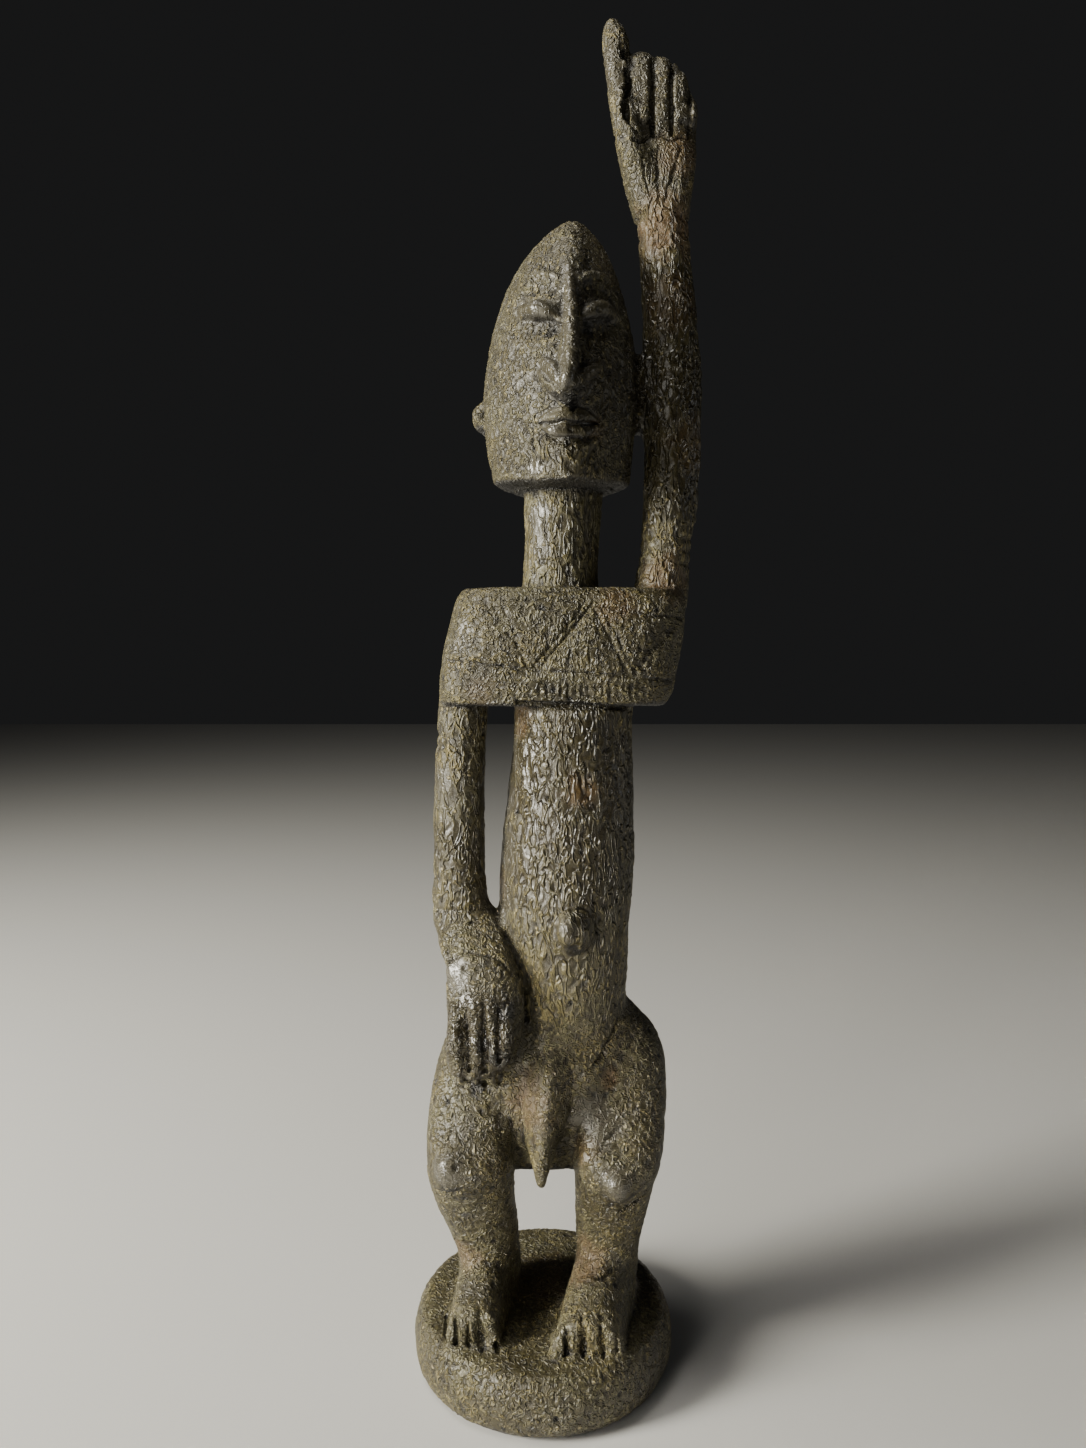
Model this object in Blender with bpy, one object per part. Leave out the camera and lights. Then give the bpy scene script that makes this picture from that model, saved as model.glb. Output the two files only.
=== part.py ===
"""A standing figure with one arm raised, carved with its round base from a single block of hardwood.

Metres, +Z up. The origin is the centre of the base's underside, and the face looks towards -Y.
The base has sizes of its own. The figure on it is drawn DRAWN_HEIGHT units tall, measured from the
top of the base, and every size and place of the figure is given in those units.
"""

import math

import bpy
import numpy as np
from mathutils import Vector

BASE_RADIUS = 0.060
BASE_TOP_RADIUS = 0.0555
BASE_UNDER_RADIUS = 0.0570
BASE_THICKNESS = 0.026
BASE_SIDES = 40

FIGURE_HEIGHT = 0.574
DRAWN_HEIGHT = 574
UNIT = FIGURE_HEIGHT / DRAWN_HEIGHT

WOOD_COLOUR = (0.085, 0.062, 0.045, 1.0)
WOOD_ROUGHNESS = 0.62

# A form is carved round a line of stations: centre x, y, z, then half width, depth in front of the
# centre and depth behind it.
TORSO = [
    (7.0, 5, 98, 25.0, 20, 22),
    (10.8, 5, 140, 27.2, 26, 23),
    (10.2, 5, 176, 29.4, 31, 22),
    (11.3, 5, 208, 30.4, 29, 22),
    (12.5, 5, 236, 29.0, 27, 22),
    (13.8, 4, 268, 26.6, 26, 23),
    (14.0, 3, 300, 27.0, 24, 22),
]
NECK = [
    (7.5, 3, 320, 17.6, 17, 17),
    (7.9, 3, 340, 16.4, 16, 16),
    (8.8, 3, 357, 16.7, 17, 16),
    (9.2, 2, 382, 17.4, 18, 17),
]
SHOULDERS = [
    (4.6, 1, 280, 50.0, 22, 21),
    (5.9, 1, 286, 52.2, 24, 23),
    (7.9, 1, 300, 52.8, 26, 24),
    (10.2, 1, 313, 52.6, 26, 24),
    (12.2, 1, 326, 51.2, 24, 23),
    (12.6, 1, 331, 48.0, 20, 19),
]
SHOULDER_CORNER = 3.4
HEAD = [
    (8.8, -1, 374.5, 27.2, 35, 24),
    (8.3, -1, 379, 30.0, 38, 27.5),
    (7.6, -1, 397, 32.8, 40, 31),
    (7.8, -1, 415, 33.8, 40, 33),
    (8.3, -1, 432, 32.4, 37, 32),
    (8.9, 0, 449, 29.0, 33, 29),
    (9.9, 1, 465, 23.6, 27, 24),
    (11.4, 2, 479, 15.8, 18, 17),
    (12.6, 3, 488, 7.4, 8, 8),
    (12.9, 3, 491, 2.4, 2.6, 2.6),
]
HEAD_TURN = 3.5
FACE_EDGE = 1.45
ARM_DOWN = [
    (-37.5, 2, 170, 8.0, 8, 10),
    (-38.2, 2, 178, 12.4, 11, 13),
    (-38.6, 2, 190, 12.4, 12, 12),
    (-38.6, 2, 216, 11.5, 11.5, 11.5),
    (-38.2, 2, 244, 11.3, 11.3, 11.3),
    (-36.8, 2, 268, 11.2, 11.2, 11.2),
    (-35.5, 2, 296, 11.0, 11, 11),
]
ARM_DOWN_RINGS = [187, 200, 260.5, 265.5]
ARM_UP = [
    (53.0, 4, 322, 12.0, 12, 12),
    (54.0, 4, 338, 11.7, 12, 12),
    (56.4, 4, 362, 11.4, 12, 12),
    (58.1, 4, 390, 12.0, 12.5, 12.5),
    (58.3, 4, 424, 12.2, 12.5, 12.5),
    (56.2, 4, 452, 11.8, 12, 12),
    (53.9, 4, 476, 11.1, 11.5, 11.5),
    (52.2, 4, 499, 11.8, 11, 11),
]
ARM_UP_RINGS = [342.5, 348, 353.5, 484.5, 491.5]
RING_HALF_WIDTH = 1.3
RING_DEPTH = 1.1
PALM_UP = [
    (52.2, 4, 494, 11.8, 11, 10),
    (51.2, 4, 506, 14.6, 10, 9),
    (50.2, 4, 519, 16.8, 9, 9),
    (49.6, 5, 530, 17.6, 8.5, 9),
    (51.4, 6, 543, 15.0, 6, 9),
    (50.0, 6, 553, 12.4, 6, 8),
    (47.6, 6, 560, 8.4, 5, 7),
]
# Folded fingers of the raised hand: centre x, half width and the height of the knuckle.
FOLDED_FINGERS = [(42.6, 6.6, 561), (51.8, 4.0, 559.5), (58.6, 4.0, 553.5), (64.2, 3.1, 542.5)]
FINGER_END_HEIGHT = 531
FINGER_DEPTH = 7.5
# The rounded top of a folded finger: how far below the knuckle, and the share of its width and depth.
FINGER_TOP = [(5, 1.0, 1.0), (1.5, 0.8, 0.7), (0, 0.45, 0.4)]
THUMB_UP = [
    (46.0, 1, 500, 8.0, 7, 8),
    (38.6, -1, 521, 6.6, 7, 7),
    (33.6, -2, 539, 5.0, 6, 6),
    (31.8, -2, 555, 5.6, 5.5, 5.5),
    (31.1, -2, 565, 5.8, 5, 5),
    (30.0, -2, 571, 4.2, 4, 4),
    (29.7, -2, 574, 1.6, 1.8, 1.8),
]
HEAD_TO_ARM = [
    (41, 4, 401, 8, 5, 6),
    (41.5, 4, 408, 9, 7, 8),
    (42, 4, 426, 9, 7, 8),
    (42.5, 4, 434, 8, 5, 6),
]
EAR = [
    (-25, 3, 400, 2, 3, 3),
    (-27, 3, 403.5, 4, 5, 5),
    (-27, 3, 409.5, 4, 5, 5),
    (-25, 3, 414, 2, 3, 3),
]
HAND_DOWN = [
    (-28.0, -20, 118, 10.0, 12, 12),
    (-26.2, -22, 128, 15.2, 13, 14),
    (-25.2, -22, 145, 17.0, 13, 14),
    (-26.2, -20, 160, 16.6, 12, 14),
    (-28.6, -14, 171, 14.0, 11, 14),
    (-31.0, -8, 178, 9.0, 8, 12),
]
FOREARM_DOWN = [
    (-36.5, 14, 181, 9.5, 8, 10, 90),
    (-37.0, 6, 181, 13.2, 10, 12, 90),
    (-34.5, -4, 178, 14.6, 11, 12, 78),
    (-31.0, -16, 172, 14.8, 10, 12, 62),
    (-28.0, -25, 165, 14.0, 9, 9, 45),
]
# Fingers of the lowered hand: x at the knuckle, x at the tip, half width and the height of the tip.
LAID_FINGERS = [
    (-37.6, -37.0, 4.4, 121),
    (-30.6, -30.8, 3.7, 119),
    (-24.6, -25.0, 3.6, 120),
    (-16.2, -18.6, 5.2, 124),
]
KNUCKLE_HEIGHT = 152
PELVIS = [
    (1.0, 10, 61, 20, 10, 12),
    (1.0, 9, 68, 36, 20, 22),
    (1.5, 7, 84, 45, 24, 29),
    (2.0, 6, 102, 48, 25, 30),
    (3.0, 5, 120, 45, 25, 28),
    (6.0, 5, 134, 36, 24, 25),
    (9.5, 5, 147, 26, 23, 22),
]
# The legs' stations have the tilt of the section as well, in degrees, forward down.
LEG_RIGHT_OF_VIEW = [
    (26.0, 10, 141, 12.0, 10, 12, 0),
    (35.2, 5, 125, 18.6, 17, 21, 14),
    (37.2, -1, 106, 20.2, 22, 25, 26),
    (35.0, -8, 88, 20.4, 24, 22, 18),
    (34.0, -11, 74, 19.9, 24, 20, 0),
    (32.8, -9, 62, 18.2, 22, 18, -14),
    (32.0, -5, 48, 17.0, 19, 17, -16),
    (31.0, 0, 34, 15.4, 16, 15, -10),
    (30.4, 3, 20, 14.6, 15, 14, 0),
    (30.0, 4, 4, 14.0, 15, 15, 0),
]
LEG_LEFT_OF_VIEW = [
    (-20.0, 10, 141, 10.0, 10, 12, 0),
    (-28.6, 5, 125, 16.0, 17, 21, 14),
    (-32.0, -1, 106, 18.6, 22, 25, 26),
    (-33.2, -8, 88, 19.6, 24, 22, 18),
    (-33.3, -11, 74, 19.3, 24, 20, 0),
    (-32.8, -9, 62, 19.2, 22, 18, -14),
    (-30.8, -5, 48, 18.2, 19, 17, -16),
    (-28.0, 0, 34, 16.2, 16, 15, -10),
    (-25.6, 3, 22, 14.5, 15, 14, 0),
    (-24.6, 4, 4, 14.0, 15, 15, 0),
]
KNEECAP_RIGHT_OF_VIEW = (33.0, -32.5, 70)
KNEECAP_LEFT_OF_VIEW = (-41.5, -30.0, 76)
KNEECAP_SIZE = (5.6, 4.5, 8.6)
LOIN_WEDGE = [
    (-0.8, -25, 66, 1.6, 3, 6),
    (-0.2, -22, 84, 7.0, 9, 12),
    (1.2, -20, 104, 10.4, 11, 12),
    (2.6, -16, 120, 11.2, 12, 10),
    (4.0, -12, 130, 9.0, 8, 8),
]
LOIN_EDGE = 1.3
NAVEL = (13.7, -27, 183)
NAVEL_SIZE = (7.2, 8.5, 11)

# Feet: centre of the heel and of the toes' front, and the half width there.
FOOT_RIGHT_OF_VIEW = dict(
    heel=(31.5, 17), toes=(19.0, -42.5), heel_half_width=14.5, toes_half_width=15.6, gaps=(-8.2, -2.2, 6.0)
)
FOOT_LEFT_OF_VIEW = dict(
    heel=(-24.5, 17), toes=(-31.0, -37.0), heel_half_width=14.0, toes_half_width=12.0, gaps=(-6.6, -2.2, 3.0)
)
# Along a foot: the share of its length, of its width and the height of its top.
FOOT_STATIONS = [
    (0.0, 0.60, 17),
    (0.1, 0.92, 24),
    (0.4, 1.0, 27),
    (0.6, 1.0, 23),
    (0.8, 1.0, 18),
    (0.97, 1.0, 15),
    (1.0, 0.96, 12.5),
]
TOE_GAP = 1.7
TOE_GAP_LENGTH = 10
SUNK = 4

# The eyes and the mouth are placed up from the jaw.
JAW_HEIGHT = HEAD[0][2]
EYE_OFFSET = 12.2
EYE_HEIGHT = JAW_HEIGHT + 67.0
EYE_SIZE = (10.0, 3.6, 5.6)
BROW = [(2.5, 454.5), (8.5, 456.8), (15.0, 456.2), (21.5, 452.0)]
BROW_THICKNESS = 1.8
# Down the nose: height, half width of its foot on the face and how far the ridge stands out.
NOSE = [
    (462, 3.0, 0.4),
    (440, 4.4, 3.6),
    (424, 5.2, 6.2),
    (412, 6.4, 8.6),
    (407.5, 6.2, 8.0),
    (403.5, 4.4, 2.0),
]
NOSE_ROOT = 3
# Down a wing of the nose: its place to the side of the ridge, its height and how far out it lies.
NOSTRIL = [(9.4, 418.0, -1.5), (7.0, 413.0, 1.2), (3.4, 407.0, 3.6)]
NOSTRIL_HALF_WIDTH = 3.6
MOUTH_HEIGHT = JAW_HEIGHT + 20.9
MOUTH_SIZE = (12.8, 4.6, 5.6)
MOUTH_SLIT = 0.8
SLIT_OUT, SLIT_SLOPE = 2.5, 0.25

ZIGZAG_HEIGHTS = (292.5, 323)
ZIGZAG_START = -35.0
ZIGZAG_STEP = 20.6
ZIGZAG_STROKES = 4
ZIGZAG_PAIR = 3.6
LAST_STROKE_SHARE = 0.8
BORDER_HEIGHTS = (288.5, 326)
BORDER_REACH = 40
GROOVE_HALF_WIDTH = 1.25

FORM_SIDES = 22
LIMB_SIDES = 15
SMALL_SIDES = 10


def at(x, y, z):
    """A place on the figure, given in drawn units above the top of the base."""
    return Vector((x * UNIT, y * UNIT, BASE_THICKNESS + z * UNIT))


def power(value, exponent):
    return math.copysign(abs(value) ** exponent, value)


def section(half_width, front, back, sides, edge=2.0, back_edge=2.0):
    """A rounded outline: edge 2 is an ellipse, below 2 comes to a ridge and above 2 is squarer."""
    points = []
    for k in range(sides):
        angle = 2 * math.pi * (k + 0.5) / sides
        depth, bend = (back, back_edge) if math.sin(angle) > 0 else (front, edge)
        across = half_width * power(math.cos(angle), 2 / bend)
        points.append((across, depth * power(math.sin(angle), 2 / bend)))
    return points


def between(rows, steps):
    """Smooth rows through the given ones, with this many steps from each to the next."""
    rows = np.array(rows, float)
    ends = np.vstack([2 * rows[0] - rows[1], rows, 2 * rows[-1] - rows[-2]])
    out = []
    for k in range(len(rows) - 1):
        a, b, c, d = ends[k : k + 4]
        for t in np.arange(steps) / steps:
            bend = 2 * a - 5 * b + 4 * c - d + t * (3 * (b - c) + d - a)
            out.append(b + 0.5 * t * (c - a + t * bend))
    return out + [rows[-1]]


def with_rings(rows, heights):
    """The rows, with a shallow groove cut round them at each height."""
    levels = [row[2] for row in rows]
    out = list(rows)
    for height in heights:
        for offset, depth in ((-RING_HALF_WIDTH, 0), (0, RING_DEPTH), (RING_HALF_WIDTH, 0)):
            row = np.array([np.interp(height + offset, levels, column) for column in zip(*rows)])
            row[3:6] -= depth
            out = [r for r in out if abs(r[2] - row[2]) > 0.4] + [row]
    return sorted(out, key=lambda r: r[2])


def solid_from_rings(name, rings):
    """A closed mesh through rings of equal length, capped at both ends."""
    sides = len(rings[0])
    points = [p for ring in rings for p in ring]
    faces = [tuple(range(sides))[::-1], tuple(range(len(points) - sides, len(points)))]
    for r in range(len(rings) - 1):
        for k in range(sides):
            a, b = r * sides + k, r * sides + (k + 1) % sides
            faces.append((a, b, b + sides, a + sides))
    mesh = bpy.data.meshes.new(name)
    mesh.from_pydata(points, [], faces)
    return outward(name, mesh)


def outward(name, mesh):
    """An object of the mesh, with its faces turned outwards."""
    volume = 0
    for face in mesh.polygons:
        corners = [mesh.vertices[v].co for v in face.vertices]
        for k in range(1, len(corners) - 1):
            volume += corners[0].dot(corners[k].cross(corners[k + 1]))
    if volume < 0:
        mesh.flip_normals()
    return bpy.data.objects.new(name, mesh)


def form(name, rows, steps=2, sides=FORM_SIDES, edge=2.0, back_edge=2.0, turn=0.0, rings=()):
    """A rounded form carved round its line of stations."""
    rows = between(rows, steps)
    if rings:
        rows = with_rings(rows, rings)
    loops = []
    cos, sin = math.cos(math.radians(turn)), math.sin(math.radians(turn))
    for x, y, z, half_width, front, back, *tilt in rows:
        lean = math.radians(tilt[0]) if tilt else 0
        loop = []
        for across, deep in section(half_width, front, back, sides, edge, back_edge):
            across, deep = across * cos - deep * sin, across * sin + deep * cos
            loop.append(at(x + across, y + deep * math.cos(lean), z + deep * math.sin(lean)))
        loops.append(loop)
    return solid_from_rings(name, loops)


def rod(name, places, half_width, sides=4):
    """A rod of constant thickness through a short row of places."""
    loops = []
    for k, place in enumerate(places):
        ahead = (places[min(k + 1, len(places) - 1)] - places[max(k - 1, 0)]).normalized()
        across = ahead.cross(Vector((0, 1, 0))).normalized()
        out = ahead.cross(across)
        loop = []
        for s in range(sides):
            angle = 2 * math.pi * s / sides
            loop.append(place + half_width * UNIT * (math.cos(angle) * across + math.sin(angle) * out))
        loops.append(loop)
    return solid_from_rings(name, loops)


def knob(name, place, size, rows=6, sides=SMALL_SIDES):
    """An egg-shaped boss."""
    loops = []
    for k in range(1, rows):
        angle = math.pi * k / rows
        loop = []
        for s in range(sides):
            turn = 2 * math.pi * s / sides
            x = size[0] * math.sin(angle) * math.cos(turn)
            y = size[1] * math.sin(angle) * math.sin(turn)
            loop.append(place + UNIT * Vector((x, y, size[2] * math.cos(angle))))
        loops.append(loop)
    return solid_from_rings(name, loops)


def leaf(name, offset, height, size, sides=8):
    """A swelling on the face with a point at each side, as an eye or the lips have."""
    length, out, rise = size
    loops = []
    for share in (-0.94, -0.72, -0.36, 0.0, 0.36, 0.72, 0.94):
        swell = 1 - share * share
        middle = on_face(offset + share * length, height)
        loop = []
        for s in range(sides):
            angle = 2 * math.pi * s / sides
            loop.append(middle + UNIT * swell * Vector((0, out * math.sin(angle), rise * math.cos(angle))))
        loops.append(loop)
    return solid_from_rings(name, loops)


def surface_place(rows, edge, turn, offset, height, out=0.0):
    """The place on the front of a form, this far to the side of its middle and this far out of it."""
    levels = [row[2] for row in rows]
    x, y, _, half_width, front, _ = [np.interp(height, levels, column) for column in zip(*rows)]
    deep = front * max(0.0, 1 - abs(offset / half_width) ** edge) ** (1 / edge) + out
    angle = math.radians(turn)
    across = offset * math.cos(angle) + deep * math.sin(angle)
    return at(x + across, y + offset * math.sin(angle) - deep * math.cos(angle), height)


def on_face(offset, height, out=0.0):
    return surface_place(HEAD, FACE_EDGE, HEAD_TURN, offset, height, out)


def on_shoulders(offset, height, out=0.0):
    return surface_place(SHOULDERS, SHOULDER_CORNER, 0, offset, height, out)


def base():
    """The round base: a turned outline with both edges rounded, flat above and below."""
    thickness = BASE_THICKNESS
    outline = [
        (0.0, BASE_UNDER_RADIUS),
        (0.10, 0.5 * (BASE_UNDER_RADIUS + BASE_RADIUS)),
        (0.28, BASE_RADIUS),
        (0.60, BASE_RADIUS),
        (0.86, 0.4 * BASE_TOP_RADIUS + 0.6 * BASE_RADIUS),
        (1.0, BASE_TOP_RADIUS),
    ]
    loops = []
    for share, radius in outline:
        ring = section(radius, radius, radius, BASE_SIDES)
        loops.append([Vector((x, y, share * thickness)) for x, y in ring])
    return solid_from_rings("base", loops)


def trunk():
    return [
        form("torso", TORSO),
        form("neck", NECK),
        form(
            "shoulder_band", SHOULDERS, steps=1, sides=32, edge=SHOULDER_CORNER, back_edge=SHOULDER_CORNER
        ),
        form("pelvis", PELVIS, steps=1),
        form("loin_wedge", LOIN_WEDGE, steps=1, sides=12, edge=LOIN_EDGE),
        knob("navel", at(*NAVEL), NAVEL_SIZE),
    ]


def head():
    """The pointed head, with its ridged nose, leaf-shaped eyes, brows and lozenge mouth."""
    forms = [
        form("head", HEAD, sides=24, edge=FACE_EDGE, turn=HEAD_TURN),
        form("ear", EAR, steps=1, sides=10),
        form("head_to_arm", HEAD_TO_ARM, steps=1, sides=10),
    ]
    ridge = []
    for height, half_width, out in NOSE:
        foot_depth, shoulder = -NOSE_ROOT, 0.5 * half_width
        ridge.append(
            [
                on_face(0, height, 3 * foot_depth),
                on_face(-half_width, height, foot_depth),
                on_face(-shoulder, height, out),
                on_face(0, height, out),
                on_face(shoulder, height, out),
                on_face(half_width, height, foot_depth),
            ]
        )
    forms.append(solid_from_rings("nose", ridge))
    for side in (-1, 1):
        forms.append(leaf("eye", side * EYE_OFFSET, EYE_HEIGHT, EYE_SIZE))
        wing = [on_face(side * offset, height, out) for offset, height, out in NOSTRIL]
        forms.append(rod("nostril", wing, NOSTRIL_HALF_WIDTH, sides=7))
        brow = [on_face(side * offset, height) for offset, height in BROW]
        forms.append(rod("brow", brow, BROW_THICKNESS, sides=6))
    forms.append(leaf("mouth", 0, MOUTH_HEIGHT, MOUTH_SIZE))
    return forms


def raised_hand():
    """The raised hand: a broad palm, four fingers folded down side by side and an upright thumb."""
    forms = [
        form("palm", PALM_UP, steps=1, sides=LIMB_SIDES, edge=3, back_edge=3),
        form("thumb", THUMB_UP, steps=1, sides=SMALL_SIDES),
    ]
    for x, half_width, top in FOLDED_FINGERS:
        rows = [
            (x, 0, FINGER_END_HEIGHT, half_width * 0.9, FINGER_DEPTH * 0.8, FINGER_DEPTH),
            (x, 0, 0.5 * (FINGER_END_HEIGHT + top), half_width, FINGER_DEPTH, FINGER_DEPTH),
        ]
        for down, width, depth in FINGER_TOP:
            y = 1 if down > 2 else 2
            rows.append((x, y, top - down, half_width * width, FINGER_DEPTH * depth, FINGER_DEPTH * depth))
        forms.append(form("folded_finger", rows, steps=1, sides=8, edge=2.6))
    return forms


def lowered_hand():
    """The lowered hand, laid on the thigh."""
    forms = [
        form("hand", HAND_DOWN, sides=LIMB_SIDES),
        form("forearm", FOREARM_DOWN, steps=1, sides=LIMB_SIDES),
    ]
    for knuckle_x, tip_x, half_width, tip in LAID_FINGERS:
        rows = [
            (knuckle_x, -28, KNUCKLE_HEIGHT, half_width * 0.8, 4, 4),
            (0.5 * (knuckle_x + tip_x), -32, 0.5 * (KNUCKLE_HEIGHT + tip), half_width, 5, 6),
            (tip_x, -33, tip + 5, half_width, 5, 8),
            (tip_x, -33, tip, half_width * 0.6, 3, 6),
        ]
        forms.append(form("laid_finger", rows, steps=1, sides=8))
    return forms


def arms():
    return [
        form("arm_down", ARM_DOWN, steps=1, sides=LIMB_SIDES, rings=ARM_DOWN_RINGS),
        form("arm_up", ARM_UP, steps=1, sides=LIMB_SIDES, rings=ARM_UP_RINGS),
    ]


def legs():
    forms = []
    for rows, kneecap in (
        (LEG_RIGHT_OF_VIEW, KNEECAP_RIGHT_OF_VIEW),
        (LEG_LEFT_OF_VIEW, KNEECAP_LEFT_OF_VIEW),
    ):
        forms.append(form("leg", rows, sides=LIMB_SIDES + 1, edge=2.2))
        forms.append(knob("kneecap", at(*kneecap), KNEECAP_SIZE))
    return forms


def foot(heel, toes, heel_half_width, toes_half_width, gaps):
    """A thick foot that ends in upright toes, and the cutters for the gaps between them."""
    loops = []
    for share, width, top in FOOT_STATIONS:
        x, y = (heel[c] + share * (toes[c] - heel[c]) for c in (0, 1))
        half_width = width * (heel_half_width + share * (toes_half_width - heel_half_width))
        loop = []
        for across, up in section(half_width, SUNK, top, 16, edge=6, back_edge=2.4):
            loop.append(at(x + across, y, up))
        loops.append(loop)
    cutters = []
    for gap in gaps:
        x, front = toes[0] + gap, toes[1] - 3
        back = front + TOE_GAP_LENGTH
        corners = [(-0.5, front), (0.5, front), (0.5, back), (-0.5, back)]
        loops_of_gap = []
        for level in (0.5, FOOT_STATIONS[0][2] + 4):
            loops_of_gap.append([at(x + side * TOE_GAP, y, level) for side, y in corners])
        cutters.append(solid_from_rings("toe_gap", loops_of_gap))
    return solid_from_rings("foot", loops), cutters


def carved_lines():
    """Cutters for the double zigzag between its borders on the shoulder band, and for the mouth."""
    cutters = []
    low, high = ZIGZAG_HEIGHTS
    for stroke in range(ZIGZAG_STROKES):
        first, last = (high, low) if stroke % 2 == 0 else (low, high)
        start = ZIGZAG_START + stroke * ZIGZAG_STEP
        end = LAST_STROKE_SHARE if stroke == ZIGZAG_STROKES - 1 else 1.0
        for shift in (0, ZIGZAG_PAIR):
            places = []
            for share in (0.0, 0.5 * end, end):
                offset = start + shift + share * ZIGZAG_STEP
                places.append(on_shoulders(offset, first + share * (last - first)))
            cutters.append(rod("zigzag_stroke", places, GROOVE_HALF_WIDTH))
    for height in BORDER_HEIGHTS:
        places = [on_shoulders(share * BORDER_REACH, height) for share in np.linspace(-1, 1, 7)]
        cutters.append(rod("border_line", places, GROOVE_HALF_WIDTH))
    lip = MOUTH_SIZE[0] + 2
    slit = []
    for offset in (-lip, 0, lip):
        slit.append(on_face(offset, MOUTH_HEIGHT, SLIT_OUT - SLIT_SLOPE * abs(offset)))
    cutters.append(rod("mouth_slit", slit, MOUTH_SLIT))
    return cutters


def helpers(name, forms):
    """A collection of shapes that only serve a Boolean."""
    collection = bpy.data.collections.new(name)
    bpy.context.scene.collection.children.link(collection)
    for shape in forms:
        collection.objects.link(shape)
        shape.hide_render = True
        shape.display_type = "WIRE"
    return collection


def combine(obj, name, operation, forms):
    modifier = obj.modifiers.new(name, "BOOLEAN")
    modifier.operation = operation
    modifier.operand_type = "COLLECTION"
    modifier.solver = "EXACT"
    modifier.collection = helpers(name, forms)


def wood():
    material = bpy.data.materials.new("wood")
    material.use_nodes = True
    shader = material.node_tree.nodes["Principled BSDF"]
    shader.inputs["Base Color"].default_value = WOOD_COLOUR
    shader.inputs["Roughness"].default_value = WOOD_ROUGHNESS
    shader.inputs["Metallic"].default_value = 0.0
    material.diffuse_color = WOOD_COLOUR
    return material


def main():
    for old in list(bpy.data.objects):
        bpy.data.objects.remove(old)
    figure = base()
    figure.name = "carved_figure"
    bpy.context.scene.collection.objects.link(figure)
    foot_right, gaps_right = foot(**FOOT_RIGHT_OF_VIEW)
    foot_left, gaps_left = foot(**FOOT_LEFT_OF_VIEW)
    forms = trunk() + head() + arms() + raised_hand() + lowered_hand() + legs() + [foot_right, foot_left]
    combine(figure, "forms", "UNION", forms)
    combine(figure, "carving", "DIFFERENCE", carved_lines() + gaps_right + gaps_left)
    figure.data.materials.append(wood())


main()
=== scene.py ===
"""The looks of the carved figure: its worn, crusty wood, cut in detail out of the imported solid.

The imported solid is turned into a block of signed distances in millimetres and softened. Finer forms
are raised on the block and cut out of it, and its surface is meshed. Wrinkles, crust, pits and tool
marks then move the points of that mesh, and what they were made from is kept on the points for the
material. Places taken from the photograph are pixels of its 1086 x 1448 frame; each is followed from
the camera to the surface of the block.
"""

import math

import bpy
import numpy as np
import openvdb
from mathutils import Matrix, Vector


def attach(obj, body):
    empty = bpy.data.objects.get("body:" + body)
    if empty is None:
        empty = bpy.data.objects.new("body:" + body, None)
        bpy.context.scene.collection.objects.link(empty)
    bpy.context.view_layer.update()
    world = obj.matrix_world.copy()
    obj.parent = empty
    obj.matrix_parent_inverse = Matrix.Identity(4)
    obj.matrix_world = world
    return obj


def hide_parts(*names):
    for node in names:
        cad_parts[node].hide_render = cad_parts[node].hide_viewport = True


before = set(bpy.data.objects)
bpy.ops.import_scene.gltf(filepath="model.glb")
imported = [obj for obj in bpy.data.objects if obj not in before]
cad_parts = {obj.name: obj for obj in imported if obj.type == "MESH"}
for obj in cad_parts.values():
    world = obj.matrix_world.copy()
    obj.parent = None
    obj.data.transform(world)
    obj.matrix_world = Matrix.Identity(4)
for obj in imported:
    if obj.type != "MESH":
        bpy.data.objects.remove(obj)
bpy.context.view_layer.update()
NODE = "carved_figure"
MILLIMETRES = 1000.0

# The camera, in millimetres and in pixels of the photograph. What a pixel shows is looked for in
# short steps, from a little before the figure to a little behind it.
PHOTO_WIDTH, PHOTO_HEIGHT = 1086, 1448
FOCAL_PX = 1000.0
CAMERA_BACK = 452.1
CAMERA_HEIGHT = 330.1
CAMERA_PITCH = math.atan(0.074)
SENSOR, CLIP_START = 36.0, 10.0
LOOK_NEAR, LOOK_FAR, LOOK_STEP = 75.0, 70.0, 0.2

# The block of distances: its voxel in millimetres, how many voxels the distances reach on each side
# of the surface, and how many are spare around them
VOXEL = 0.7
BAND, SPARE = 7, 3

# How the solid is softened, and how softly forms are joined to it, in millimetres. A blur reaches
# out to this many times its width, and a path takes this many steps from one row to the next.
BROAD_BLUR, BROAD_SWELL = 3.0, 0.28
FINE_BLUR, FINE_SWELL = 1.2, 0.05
FEATHER = 5.0
BOSS_SOFT, CUT_SOFT, STROKE_MARGIN = 0.9, 0.5, 3.0
BLUR_REACH, PATH_STEPS = 2.2, 4
TINY = 1e-9

# The jaw's underside: the height of the outline that runs down to it, its own height in the middle,
# its rise towards the sides, its half width, and how far its edge is cut back. Then come how many
# of those rises it has at most, the middle of the neck and its reach, the side at which the raised
# arm begins, and how far the box that this is done in reaches to the other side, to the front and
# back, and below the jaw.
JAW_WALL, JAW_BOTTOM, JAW_RISE, JAW_HALF, JAW_CHAMFER = 406.3, 399.8, 3.0, 27.0, 1.0
JAW_RISE_MOST = 1.5
NECK_MIDDLE, NECK_REACH = (9.5, 2.0), 21.5
JAW_SIDE, JAW_BOX, JAW_BELOW = 41.0, (60, 80), 4.0

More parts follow.
